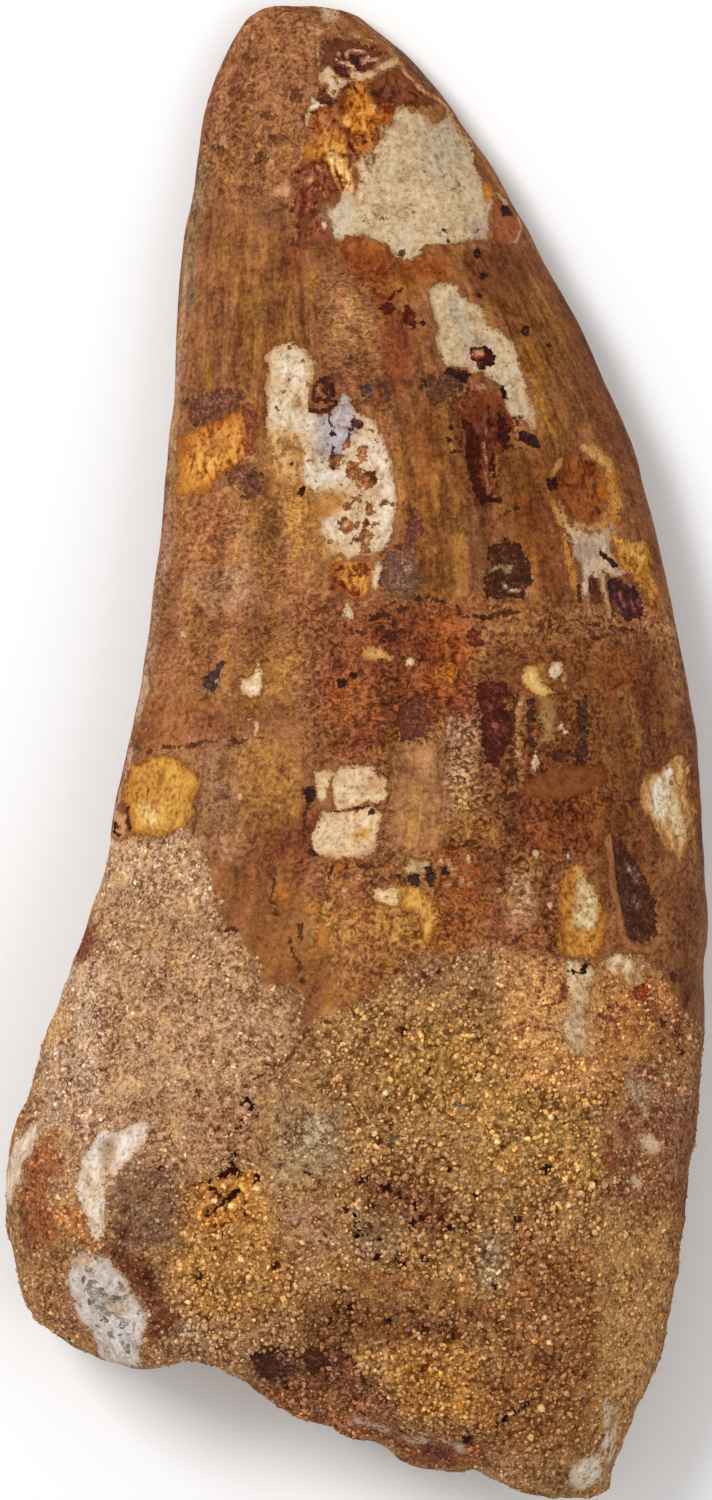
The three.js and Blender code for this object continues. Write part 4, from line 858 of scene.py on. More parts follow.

# Tints of the sandstone: colour, how soft, how strong, shape. A few of them are painted shade.
SAND_TINTS = [
    (SAND_PINK, 24, 0.9, polygon(60,830, 190,830, 260,980, 300,1010, 250,1110, 215,1180, 60,1200)),
    ((205, 170, 135), 12, 0.5, polygon(100,840, 188,838, 214,880, 214,900, 110,900)),
    ((200, 164, 136), 14, 0.8, polygon(46,1050, 70,960, 104,958, 100,1130, 40,1130)),
    ((150, 116, 92), 6, 0.4, stroke(5, 152,950, 153,1030)),
    (SAND_GOLD, 30, 0.9, polygon(330,1010, 450,970, 520,1040, 620,1080, 700,1200, 640,1450, 330,1400,
        300,1180)),
    ((150, 106, 76), 9, 0.8, polygon(404,956, 450,958, 448,993, 405,993)),
    ((204, 150, 92), 14, 0.9, polygon(500,945, 562,955, 600,1050, 600,1100, 505,1090)),
    ((170, 112, 74), 9, 0.6, stroke(12, 505,952, 530,955, 556,958)),
    ((200, 140, 90), 6, 0.7, ellipse(553,986, 8,13)),
    ((186, 128, 74), 14, 0.9, polygon(595,960, 690,975, 692,1100, 600,1100)),
    ((138, 88, 60), 12, 0.6, polygon(655,1015, 692,1015, 694,1060, 657,1060)),
    ((156, 114, 88), 12, 0.7, polygon(625,1060, 690,1062, 692,1130, 627,1130)),
    ((190, 158, 132), 7, 0.7, ellipse(640,1090, 8,7)),
    (SAND_GREY, 14, 0.9, polygon(275,1105, 345,1105, 345,1180, 275,1180)),
    ((190, 168, 138), 9, 0.7, ellipse(315,1135, 13,16)),
    ((175, 130, 95), 9, 0.9, polygon(285,1198, 340,1198, 338,1252, 285,1252)),
    ((178, 130, 98), 10, 0.8, polygon(195,1100, 236,1100, 252,1120, 246,1150, 195,1150)),
    (SAND_YELLOW, 24, 0.8, ellipse(450,1070, 70,46)),
    ((180, 135, 75), 18, 0.8, polygon(480,1095, 600,1095, 600,1180, 480,1180)),
    ((184, 134, 72), 18, 0.8, polygon(180,1185, 262,1185, 300,1300, 200,1330, 172,1270)),
    ((198, 136, 62), 8, 0.8, polygon(202,1180, 262,1170, 262,1216, 206,1228)),
    ((130, 95, 72), 12, 0.8, polygon(110,1168, 178,1165, 176,1248, 120,1248)),
    ((155, 95, 58), 5, 0.95, polygon(45,1135, 52,1133, 55,1145, 63,1160, 63,1175, 50,1180, 47,1195,
        50,1210, 60,1215, 60,1235, 50,1250, 30,1250, 20,1235, 22,1215, 20,1200, 25,1180, 30,1160,
        38,1145)),
    ((190, 145, 105), 6, 0.9, polygon(48,1182, 62,1176, 66,1152, 76,1152, 76,1200, 66,1208, 52,1208)),
    ((110, 65, 50), 5, 0.8, stroke(7, 27,1208, 26,1230, 32,1250)),
    ((200, 160, 110), 5, 0.8, polygon(64,1238, 74,1240, 78,1258, 64,1262)),
    ((166, 116, 72), 14, 0.7, polygon(16,1252, 60,1254, 62,1312, 36,1318)),
    ((150, 105, 80), 8, 0.8, polygon(58,1288, 76,1296, 92,1335, 62,1335)),
    ((164, 140, 116), 10, 0.6, ellipse(192,1332, 12,12)),
    ((160, 118, 90), 8, 0.6, stroke(10, 150,1358, 200,1352)),
    ((146, 113, 86), 10, 0.7, polygon(350,1215, 400,1215, 400,1260, 352,1260)),
    ((128, 82, 54), 12, 0.7, polygon(356,1172, 430,1178, 470,1225, 430,1240, 370,1210)),
    ((165, 145, 115), 12, 0.8, polygon(480,1240, 510,1240, 512,1290, 484,1290)),
    ((150, 98, 58), 12, 0.8, polygon(500,1240, 600,1240, 600,1380, 505,1380)),
    ((120, 75, 42), 9, 0.8, polygon(300,1302, 345,1300, 420,1306, 470,1324, 474,1348, 400,1346,
        300,1348)),
    ((150, 100, 58), 5, 0.95, polygon(348,1272, 370,1270, 400,1275, 430,1275, 455,1285, 480,1300,
        500,1315, 512,1320, 505,1330, 490,1325, 470,1318, 450,1310, 430,1300, 400,1292, 370,1290,
        350,1288)),
    ((112, 72, 48), 5, 0.8, stroke(7, 470,1310, 486,1318, 502,1328)),
    ((108, 66, 40), 10, 0.7, ellipse(545,1360, 12,12)),
    ((178, 124, 62), 14, 0.8, polygon(390,1345, 480,1345, 490,1425, 396,1420)),
    ((126, 80, 54), 8, 0.8, polygon(270,1395, 300,1408, 345,1416, 390,1424, 388,1440, 320,1432)),
    ((150, 90, 55), 6, 0.9, polygon(390,1428, 470,1438, 492,1450, 480,1466, 410,1462)),
    ((150, 100, 70), 14, 0.8, polygon(600,1110, 690,1105, 690,1205, 604,1205)),
    ((182, 136, 86), 16, 0.8, polygon(600,1215, 684,1210, 668,1330, 640,1400, 600,1400)),
    ((140, 86, 44), 12, 0.6, polygon(476,1370, 590,1370, 590,1452, 486,1452)),
    ((140, 75, 50), 5, 0.9, polygon(83,925, 98,925, 97,940, 88,958, 80,965, 74,962, 72,945, 78,932)),
    ((195, 150, 100), 6, 0.8, polygon(52,1006, 76,1008, 70,1040, 44,1044)),
    ((185, 130, 85), 5, 0.8, stroke(7, 24,1118, 14,1140, 8,1170)),
    # painted shade along the front edge of the sandstone
    ((100, 54, 34), 15, 0.8, stroke(12, 706,930, 704,1080, 692,1160, 680,1240)),
    ((124, 78, 46), 8, 0.6, stroke(9, 684,1200, 668,1330, 626,1450)),
    ((196, 134, 78), 6, 0.8, polygon(58,1205, 72,1205, 80,1212, 84,1222, 92,1234, 98,1246, 90,1250,
        78,1240, 68,1232, 58,1222)),
    # painted shade beside the lower white patch of the root
    ((112, 64, 40), 5, 0.95, polygon(100,1250, 115,1245, 130,1255, 145,1260, 155,1270, 160,1290, 160,1300,
        175,1310, 180,1320, 170,1335, 155,1345, 145,1335, 150,1320, 155,1312, 140,1303, 130,1285,
        118,1270)),
    ((66, 32, 22), 4, 0.9, ellipse(148,1275, 6,6)),
    ((70, 36, 24), 4, 0.9, ellipse(152,1285, 5,6)),
    ((84, 46, 30), 4, 0.8, ellipse(122,1234, 5,8)),
    # the next five entries paint shade into the hollow under the ledge's brink: darkest at its upper left,
    # lighter along its foot
    ((150, 98, 64), 5, 0.95, polygon(248,1354, 275,1352, 300,1351, 325,1349, 345,1350, 356,1361, 370,1380,
        385,1395, 396,1405, 402,1420, 400,1440, 340,1440, 300,1425, 262,1400, 244,1378)),
    ((84, 50, 36), 5, 0.9, polygon(250,1357, 275,1356, 294,1361, 296,1376, 278,1384, 256,1374)),
    ((112, 64, 42), 7, 0.9, polygon(306,1354, 344,1353, 350,1374, 330,1390, 308,1384)),
    ((152, 98, 62), 5, 0.8, stroke(8, 262,1392, 300,1412, 340,1424, 380,1434)),
    ((180, 128, 76), 3, 0.9, stroke(3.6, 352,1358, 364,1374, 378,1390, 390,1401)),
    ((110, 62, 48), 6, 0.9, polygon(420,1447, 450,1449, 452,1464, 424,1462)),
]

# The hidden face. Its places are given as if it was seen through the tooth from above.
UNDER_WASHES = [
    (GRANULAR, 24, 0.8, polygon(230,10, 340,0, 420,90, 390,170, 250,180)),
    (GOLD_BROWN, 30, 0.8, polygon(250,200, 330,190, 370,600, 262,620)),
    (OLIVE_BROWN, 26, 0.6, ellipse(420,420, 44,130)),
    (GOLD, 12, 0.6, stroke(14, 376,170, 396,300, 404,450)),
    (GOLD, 10, 0.5, stroke(9, 300,260, 304,420)),
    (CHESTNUT, 30, 0.8, polygon(440,230, 560,290, 660,600, 600,760, 500,560)),
    (RUST, 20, 0.5, ellipse(350,660, 80,46)),
    (RED_BROWN, 26, 0.6, ellipse(480,760, 90,60)),
    (CLAY, 24, 0.5, ellipse(230,720, 60,70)),
    (GOLD_BROWN, 24, 0.7, polygon(260,800, 420,780, 430,940, 280,970)),
    (RIM_PINK, 5, 0.6, stroke(10, 190,300, 180,420, 170,520, 152,640)),
]
UNDER_PATCHES = [
    # under, cream flake
    (CREAM, 4, -0.1, [polygon(340,250, 352,232, 368,238, 384,222, 404,236, 410,262, 398,280, 408,306,
        414,334, 402,362, 384,356, 378,376, 362,366, 366,340, 350,326, 354,298, 338,284)]),
    # under, second flake
    (BONE, 4, -0.1, [polygon(462,512, 480,498, 498,510, 506,530, 520,540, 516,566, 522,592, 506,612,
        490,606, 486,584, 470,590, 460,566, 470,544)]),
    # under, ochre stain
    (OCHRE, 5, -0.05, [polygon(238,566, 250,548, 270,552, 286,540, 306,554, 300,576, 314,596, 292,612,
        268,600, 250,612, 236,594)]),
    # under, pale fleck
    (GREY_BONE, 4, -0.06, [polygon(552,646, 566,628, 588,634, 602,652, 592,672, 600,694, 580,708, 566,696,
        568,676, 556,668), polygon(316,118, 330,108, 346,116, 352,132, 336,136, 322,130)]),
    # under, small flecks
    (BONE, 3, -0.04, [*ellipses(300,470,5,8, 420,640,7,5, 250,380,4,6, 380,800,8,6)]),
    # under, white crust
    ((196, 180, 164), 5, 0.05, [polygon(100,1186, 120,1170, 140,1178, 152,1166, 170,1186, 160,1206,
        172,1230, 150,1252, 136,1276, 118,1256, 124,1232, 104,1220), polygon(532,1306, 552,1288, 572,1296,
        590,1284, 608,1306, 596,1330, 602,1352, 576,1366, 560,1352, 546,1360, 548,1334)]),
]
UNDER_SPOTS = [
    # under, dark streaks
    (DEEP_BROWN, 4, -0.1, [stroke(9, 452,330, 458,400, 456,450), stroke(6, 330,480, 334,540),
        stroke(7, 560,470, 572,540)]),
    # under, pits
    (BLACK_BROWN, 3, -0.2, [*ellipses(380,300,6,8, 492,545,5,6, 276,700,5,4, 520,700,6,4, 410,220,4,4,
        350,850,5,5, 300,1100,7,6, 420,1200,8,5, 240,1250,6,7, 560,1150,5,6)]),
    # under, brown bits
    ((134, 86, 52), 3, -0.1, [*ellipses(382,250,6,5, 394,300,5,8, 372,342,6,4, 490,530,5,7, 502,580,4,6,
        272,576,6,5, 138,1210,6,8, 572,1322,7,6)]),
    # under, crack
    (DEEP_BROWN, 3, -0.08, [stroke(3, 160,640, 240,632, 300,640, 380,628, 470,618, 560,626, 670,612)]),
]
UNDER_SANDS = [
    (SAND_PINK, 40, 0.8, ellipse(200,1040, 130,130)),
    (SAND_GOLD, 40, 0.8, ellipse(460,1150, 150,130)),
    (SAND_DARK, 20, 0.6, ellipse(330,1320, 80,30)),
    (SAND_GREY, 20, 0.7, ellipse(560,1050, 50,60)),
]

# Dentine round the broken end. It comes in between these two distances from the middle of the end's
# height, as shares of it.
DENTINE = (200, 170, 130)
DENTINE_FROM, DENTINE_TO = 0.26, 0.40
DENTINE_LUMPS = ((0.05, 1.2),)
DENTINE_SHARE = 0.8

# Kinds of enamel: (growth lines, wrinkles across, grit), how soft, how strong, shape.
FINISHES = [
    ((0.1, 0.2, 0.6), 24, 1.0, polygon(190,0, 330,0, 325,110, 300,170, 290,200, 190,200)),
    ((0.8, 0.2, 0.3), 30, 1.0, polygon(180,230, 620,230, 700,700, 500,600, 180,520)),
    ((0.2, 1.0, 0.3), 16, 1.0, polygon(312,265, 385,262, 390,375, 325,400)),
    ((0.2, 0.8, 0.5), 24, 0.9, polygon(160,500, 300,500, 300,700, 140,700)),
    ((0.5, 0.3, 0.5), 20, 0.9, polygon(130,700, 310,745, 300,860, 210,860)),
    ((0.2, 0.5, 0.9), 20, 0.9, polygon(290,600, 500,600, 500,860, 380,870, 310,740, 300,700)),
    ((0.2, 0.2, 0.9), 14, 0.9, polygon(300,860, 500,850, 500,955, 340,1000)),
    ((0.1, 0.9, 1.0), 8, 0.9, polygon(446,716, 482,716, 480,812, 444,812)),
    ((0.8, 0.1, 0.2), 8, 0.9, polygon(386,740, 446,740, 446,850, 390,850)),
    ((0.1, 0.1, 0.3), 10, 0.9, polygon(216,870, 296,920, 296,985, 260,985)),
    ((0.5, 0.2, 0.6), 20, 0.9, polygon(500,620, 705,620, 710,960, 560,960, 500,860)),
    ((0.3, 0.3, 1.0), 12, 0.9, polygon(490,690, 600,690, 600,760, 580,960, 500,960)),
    ((0.2, 0.3, 0.9), 12, 0.9, polygon(480,606, 690,612, 690,650, 500,660)),
]

# How coarse the sandstone is, 0 smooth and cemented, 1 open with dark gaps: value, how soft, how strong,
# shape.
COARSENESS = [
    (0.15, 30, 1.0, polygon(60,830, 190,830, 260,980, 300,1010, 250,1110, 225,1160, 60,1140)),
    (1.0, 10, 1.0, polygon(250,1350, 345,1348, 402,1420, 340,1440, 262,1400)),
    (0.5, 12, 0.8, polygon(145,840, 205,845, 200,880, 145,880)),
    (1.0, 30, 0.9, polygon(330,1010, 450,970, 500,1060, 620,1080, 620,1240, 560,1450, 330,1400, 170,1350,
        170,1190, 300,1190)),
    (0.1, 14, 0.9, polygon(277,1105, 338,1105, 345,1255, 290,1255, 270,1190)),
    (0.1, 10, 0.9, polygon(190,1100, 246,1112, 240,1150, 190,1165)),
    (0.1, 10, 0.9, polygon(350,1278, 440,1284, 490,1310, 440,1304, 350,1300)),
    (0.15, 12, 0.9, polygon(500,950, 600,950, 640,980, 620,1060, 510,1050)),
    (0.4, 20, 0.8, polygon(600,1040, 705,1040, 690,1200, 640,1180)),
    (0.3, 20, 0.8, polygon(600,1205, 684,1205, 650,1380, 600,1400)),
]

# How strongly a patch is marbled with brown, from 0 to 1: value, how soft, how strong, shape.
MARBLING = [
    (1.0, 8, 1.0, polygon(300,80, 360,80, 396,110, 382,150, 360,200, 332,240, 290,240, 296,140)),
    (0.1, 5, 1.0, polygon(318,202, 336,198, 346,190, 358,196, 358,238, 328,240)),
    (0.9, 6, 1.0, polygon(370,60, 440,100, 400,110, 372,100)),
    (0.9, 6, 1.0, ellipse(216,450, 32,36)),
    (0.8, 6, 1.0, polygon(458,384, 505,384, 512,440, 496,504, 466,500)),
    (0.7, 6, 1.0, polygon(264,436, 312,440, 316,548, 290,540, 266,470)),
    (0.8, 5, 1.0, ellipse(585,488, 26,34)),
    (0.8, 6, 1.0, polygon(612,532, 660,540, 668,625, 636,600, 612,560)),
    (0.9, 6, 1.0, ellipse(352,580, 24,22)),
    (0.6, 6, 1.0, polygon(638,755, 696,755, 696,865, 640,820)),
    (0.7, 6, 1.0, polygon(555,860, 610,860, 610,962, 555,962)),
    (0.6, 8, 1.0, polygon(394,884, 440,884, 440,945, 394,925)),
    (0.5, 8, 1.0, ellipse(158,797, 40,42)),
    (0.6, 8, 1.0, polygon(555,955, 650,950, 650,1060, 555,1060)),
    (0.5, 6, 1.0, polygon(58,1200, 100,1200, 98,1256, 60,1256)),
]

# Single bright grains of sand: colour, u, v and half size.
BRIGHT_GRAINS = [
    ((230, 195, 150), 215, 1203, 5.5), ((235, 190, 120), 233, 1205, 6.0), ((220, 165, 85), 245, 1190, 6.5),
    ((236, 205, 158), 257, 1189, 5.0), ((226, 176, 104), 222, 1187, 4.5), ((214, 150, 70), 240, 1178, 4.5),
    ((216, 158, 84), 226, 1216, 4.5), ((222, 172, 110), 207, 1199, 4.0), ((214, 160, 84), 248, 1206, 4.5),
    ((230, 182, 122), 393, 1357, 5.0), ((230, 180, 120), 435, 1357, 5.0), ((220, 175, 130), 512, 1418, 5.0),
    ((230, 190, 130), 541, 1410, 5.5), ((222, 180, 124), 523, 1412, 3.5), ((220, 172, 116), 530, 1436, 4.5),
    ((214, 170, 118), 542, 1464, 4.0), ((216, 180, 132), 594, 1185, 4.5), ((222, 186, 140), 567, 1205, 4.5),
    ((226, 200, 150), 478, 1078, 4.5), ((226, 206, 160), 388, 1092, 4.0), ((224, 196, 146), 501, 1141, 4.5),
    ((232, 206, 158), 456, 1110, 3.5), ((224, 192, 136), 549, 1118, 4.0), ((216, 176, 120), 466, 1062, 4.0),
]

# ---------------------------------------------------------------- random fields

# Large numbers that scramble the corner of a cell and a seed into a random value.
SEED_STEP = 37.17
CELL_FACTORS = (73856093, 19349663, 83492791)
SCRAMBLERS = (2246822519, 3266489917)


def field(points, size, seed):
    """A smooth random field from about -1 to 1 with lumps of the given size."""
    p = points / size + seed * SEED_STEP
    cell = np.floor(p).astype(np.int64)
    share = p - cell
    share = share**3 * (share * (share * 6 - 15) + 10)
    total = np.zeros(len(p))
    for corner in itertools.product((0, 1), repeat=p.shape[1]):
        key = np.zeros(len(p), np.int64)
        weight = np.ones(len(p))
        for axis, side in enumerate(corner):
            key = key * CELL_FACTORS[0] + (cell[:, axis] + side) * CELL_FACTORS[1] + axis * CELL_FACTORS[2]
            weight *= share[:, axis] if side else 1 - share[:, axis]
        key = (key ^ (key >> 15)) * SCRAMBLERS[0] & 0xFFFFFFFF
        key = (key ^ (key >> 13)) * SCRAMBLERS[1] & 0xFFFFFFFF
        total += weight * (((key ^ (key >> 16)) & 0xFFFF) / 32767.5 - 1)
    return total


def layered(points, layers, seed):
    """A sum of random fields, each given as its strength and the size of its lumps."""
    return sum(strength * field(points, size, seed + at) for at, (strength, size) in enumerate(layers))


def smooth(x, low, high):
    """0 below low, 1 above high and a soft step between them."""
    t = np.clip((x - low) / (high - low), 0, 1)
    return t * t * (3 - 2 * t)


# ---------------------------------------------------------------- the skin

WELD = 1e-6  # m
FLAT_QUAD = math.radians(120)  # two triangles are joined where the quad's corners are off by less than this
CREASE_ANGLE = math.radians(50)
CREASE = 0.75
START_LEVELS, TARGET_LEVELS = 1, 3
# How far up a face looks: hidden below the first number, and seen well above the second.
UNDERSIDE, TOPSIDE = -0.3, 0.1
DETAIL_REACH, HIDDEN_REACH = 8.5, 14  # the mesh is finer within this of the edge of a mark
EDGE_RAMP = 3.5  # a mark's relief comes in over this much on either side of its edge
WAVER = ((2.2, 1.3), (1.2, 0.6))  # strength in units of the frame and lump size in mm
SAND_LUMPS = ((0.16, 2.6), (0.12, 1.4), (0.08, 0.8))  # strength and lump size in mm
ENAMEL_LUMPS = 0.025  # mm
BROKEN_END = -25  # mm: the face of the broken end lies below this along the tooth
TIP_ROUNDING = 1.8  # mm: the very end of the tip is rounded in thickness over this length
TIP_BLUNTNESS = 0.1
GRAIN_WIDTH = 34.0  # the growth lines' own coordinate from the back edge to the front edge
UNMARKED = 9.0  # mask value where nothing is painted yet
MASK_LIMIT = 4


def new_object(name, data):
    made = bpy.data.objects.new(name, data)
    bpy.context.scene.collection.objects.link(made)
    return made


def make_cage(node):
    """The node's mesh as welded quads, with its sharp edges creased."""
    bm = bmesh.new()
    bm.from_mesh(node.data)
    bmesh.ops.remove_doubles(bm, verts=bm.verts, dist=WELD)
    bmesh.ops.join_triangles(
        bm, faces=bm.faces, angle_face_threshold=math.pi, angle_shape_threshold=FLAT_QUAD
    )
    bmesh.ops.recalc_face_normals(bm, faces=bm.faces)
    creases = bm.edges.layers.float.new("crease_edge")
    for edge in bm.edges:
        if len(edge.link_faces) == 2 and edge.calc_face_angle() > CREASE_ANGLE:
            edge[creases] = CREASE
    mesh = bpy.data.meshes.new("cage")
    bm.to_mesh(mesh)
    bm.free()
    cage = new_object("cage", mesh)
    cage.modifiers.new("rounder", "SUBSURF")
    return cage


def rounded(cage, levels):
    """A mesh of the cage after so many levels of subdivision."""
    cage.modifiers["rounder"].levels = levels
    bpy.context.view_layer.update()
    return bpy.data.meshes.new_from_object(cage.evaluated_get(bpy.context.evaluated_depsgraph_get()))


def face_places(bm):
    """The middle of each face in mm, and the way it looks."""
    bm.faces.ensure_lookup_table()
    centres = np.array([face.calc_center_median() for face in bm.faces]) * MM
    return centres, np.array([face.normal for face in bm.faces])


def shapes_of(marks):
    return [shape for *_, shapes in marks for shape in shapes]


def divide(bm, chosen):
    """Cuts each edge of the chosen faces in two."""
    edges = {edge for index in np.flatnonzero(chosen) for edge in bm.faces[index].edges}
    bmesh.ops.subdivide_edges(bm, edges=list(edges), cuts=1, use_grid_fill=True)
    bm.normal_update()


def make_skin(node):
    """A rounded copy of the node's mesh, finer where it is looked at most and round small marks."""
    cage = make_cage(node)
    smooth_mesh = rounded(cage, TARGET_LEVELS)
    start = rounded(cage, START_LEVELS)
    target = BVHTree.FromPolygons(
        [v.co for v in smooth_mesh.vertices], [p.vertices[:] for p in smooth_mesh.polygons]
    )
    bm = bmesh.new()
    bm.from_mesh(start)
    bm.normal_update()
    divide(bm, face_places(bm)[1][:, 2] > UNDERSIDE)
    centres, facing = face_places(bm)
    near = nearest(seen_at(centres), shapes_of(PATCHES + SPOTS) + [CRUST])
    divide(bm, (np.abs(near) < DETAIL_REACH) & (facing[:, 2] > TOPSIDE))
    centres, facing = face_places(bm)
    near = nearest(seen_at(centres), shapes_of(UNDER_PATCHES + UNDER_SPOTS))
    divide(bm, (np.abs(near) < HIDDEN_REACH) & (facing[:, 2] < UNDERSIDE))
    # a point between only two edges would leave two slivers back to back
    bmesh.ops.dissolve_verts(bm, verts=[vert for vert in bm.verts if len(vert.link_edges) == 2])
    for vert in bm.verts:
        vert.co = target.find_nearest(vert.co)[0]
    mesh = bpy.data.meshes.new("tooth_skin")
    bm.to_mesh(mesh)
    bm.free()
    skin = new_object("tooth_skin", mesh)
    cage_mesh = cage.data
    bpy.data.objects.remove(cage)
    for spare in (smooth_mesh, start, cage_mesh):
        bpy.data.meshes.remove(spare)
    for layer in list(mesh.uv_layers):
        mesh.uv_layers.remove(layer)
    for face in mesh.polygons:
        face.use_smooth = True
    mesh.update()
    return skin


def read(collection, key):
    """A vector of each item as an array."""
    values = np.zeros(len(collection) * 3, np.float32)
    collection.foreach_get(key, values)
    return values.reshape(-1, 3).astype(float)


class Canvas:
    """Colours and masks held at the vertices of the skin. They start as they are away from all marks."""

    def __init__(self, count):
        self.ground = np.tile(linear(ENAMEL), (count, 1))
        self.finish = np.tile(np.array((0.5, 0.3, 0.3)), (count, 1))
        self.patch = np.full(count, UNMARKED)
        self.patch_tint = np.tile(linear(CREAM), (count, 1))
        self.marble = np.full(count, 0.3)
        self.spot = np.full(count, UNMARKED)
        self.spot_tint = np.tile(linear(BLACK_BROWN), (count, 1))
        self.sand_tint = np.tile(linear(SAND), (count, 1))
        self.coarse = np.full(count, 0.5)
        self.relief = np.zeros(count)

    def wash(self, layer, where, places, washes):
        """Blends values softly over a layer."""
        values = getattr(self, layer)
        for goal, softness, strength, shape in washes:
            share = strength * (1 - smooth(signed_distance(places, shape), -softness, softness)) * where
            if layer.endswith(("ground", "tint")):
                goal = linear(goal)
            if values.ndim == 2:
                share = share[:, None]
            values += share * (goal - values)

    def paint(self, layer, where, places, marks):
        """Adds crisp marks. The masks are negative inside a mark, in units of its raggedness."""
        mask, tints = getattr(self, layer), getattr(self, layer + "_tint")
        for colour, ragged, depth, shapes in marks:
            near = np.where(where > 0.5, nearest(places, shapes) / ragged, UNMARKED)
            over = (near < 0) | (near < mask)
            tints[over & (near < MASK_LIMIT)] = linear(colour)
            np.minimum(mask, near, out=mask)
            self.relief += depth * (1 - smooth(near * ragged, -EDGE_RAMP, EDGE_RAMP)) * where


# ---------------------------------------------------------------- build the skin

skin = make_skin(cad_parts["tooth"])
mesh = skin.data
points = read(mesh.vertices, "co") * MM
normals = read(mesh.vertex_normals, "vector")
count = len(points)
upper = smooth(normals[:, 2], -0.25, 0.05)
places = seen_at(points)
waver = np.stack([layered(points, WAVER, 1), layered(points, WAVER, 3)], axis=1)
ragged_places = places + waver

canvas = Canvas(count)
canvas.wash("ground", upper, ragged_places, WASHES)
canvas.wash("finish", upper, ragged_places, FINISHES)
canvas.paint("patch", upper, ragged_places, PATCHES)
canvas.wash("patch_tint", upper, ragged_places, PATCH_WASHES)
canvas.wash("marble", upper, ragged_places, MARBLING)
canvas.paint("spot", upper, ragged_places, SPOTS)
canvas.wash("sand_tint", upper, ragged_places, SAND_TINTS)
lower = 1 - upper
canvas.wash("ground", lower, ragged_places, UNDER_WASHES)
canvas.paint("patch", lower, ragged_places, UNDER_PATCHES)
canvas.paint("spot", lower, ragged_places, UNDER_SPOTS)
canvas.wash("sand_tint", lower, ragged_places, UNDER_SANDS)

# the face of the broken end looks away from the tip and not up
broken = smooth(-normals[:, 1], 0.45, 0.75) * (points[:, 1] < BROKEN_END)
broken *= 1 - smooth(normals[:, 2], 0.0, 0.2)
from_middle = np.abs(points[:, 2] / points[:, 2].max() - 0.5)
dentine = broken * smooth(from_middle + layered(points, DENTINE_LUMPS, 51), DENTINE_FROM, DENTINE_TO)
canvas.sand_tint += DENTINE_SHARE * dentine[:, None] * (linear(DENTINE) - canvas.sand_tint)
canvas.wash("coarse", upper, ragged_places, COARSENESS)
canvas.sand = signed_distance(ragged_places, CRUST) / CRUST_SOFTNESS

crust = 1 - smooth(canvas.sand, -0.6, 0.6)
lumps = layered(points, SAND_LUMPS, 10) * (0.5 + canvas.coarse)
canvas.relief += crust * lumps + (1 - crust) * ENAMEL_LUMPS * field(points, 1.1, 22)

moved = points + normals * canvas.relief[:, None]
to_tip = np.clip((moved[:, 1].max() - moved[:, 1]) / TIP_ROUNDING, 0, 1)
at_tip = moved[to_tip < 1, 2]
tip_middle = 0.5 * (at_tip.min() + at_tip.max())
squeeze = np.sqrt(np.maximum(1 - (1 - to_tip) ** 2, TIP_BLUNTNESS))
moved[:, 2] = tip_middle + (moved[:, 2] - tip_middle) * np.where(to_tip < 1, squeeze, 1)
# nothing may stand outside the solid's box
box_low, box_high = np.array(cad_low) * MM, np.array(cad_high) * MM
moved = np.clip(moved, box_low, box_high)
mesh.vertices.foreach_set("co", (moved / MM).astype(np.float32).ravel())
mesh.update()

# growth lines run from root to tip and close up with the tooth, so their coordinates do too
back = np.interp(places[:, 1], *zip(*BACK_EDGE))
front = np.interp(places[:, 1], *zip(*FRONT_EDGE))
across = (places[:, 0] - back) / (front - back) * GRAIN_WIDTH
grain = np.stack([across, places[:, 1] / UNITS_PER_MM, points[:, 2]], axis=1)


def add_vectors(name, values, kind="FLOAT_COLOR"):
    layer = mesh.attributes.new(name, kind, "POINT")
    if kind == "FLOAT_COLOR":
        values = np.concatenate([values, np.ones((len(values), 1))], axis=1)
    key = "color" if kind == "FLOAT_COLOR" else "vector"
    layer.data.foreach_set(key, values.astype(np.float32).ravel())


def add_numbers(name, values):
    layer = mesh.attributes.new(name, "FLOAT", "POINT")
    layer.data.foreach_set("value", np.asarray(values, np.float32))


for name in ("ground", "finish", "patch_tint", "spot_tint", "sand_tint"):
    add_vectors(name, getattr(canvas, name))
for name in ("patch", "spot", "sand"):
    add_numbers(name, np.clip(getattr(canvas, name), -MASK_LIMIT, MASK_LIMIT))
add_numbers("coarse", canvas.coarse)
add_numbers("marble", canvas.marble)
add_vectors("grain", grain, "FLOAT_VECTOR")

# ---------------------------------------------------------------- material


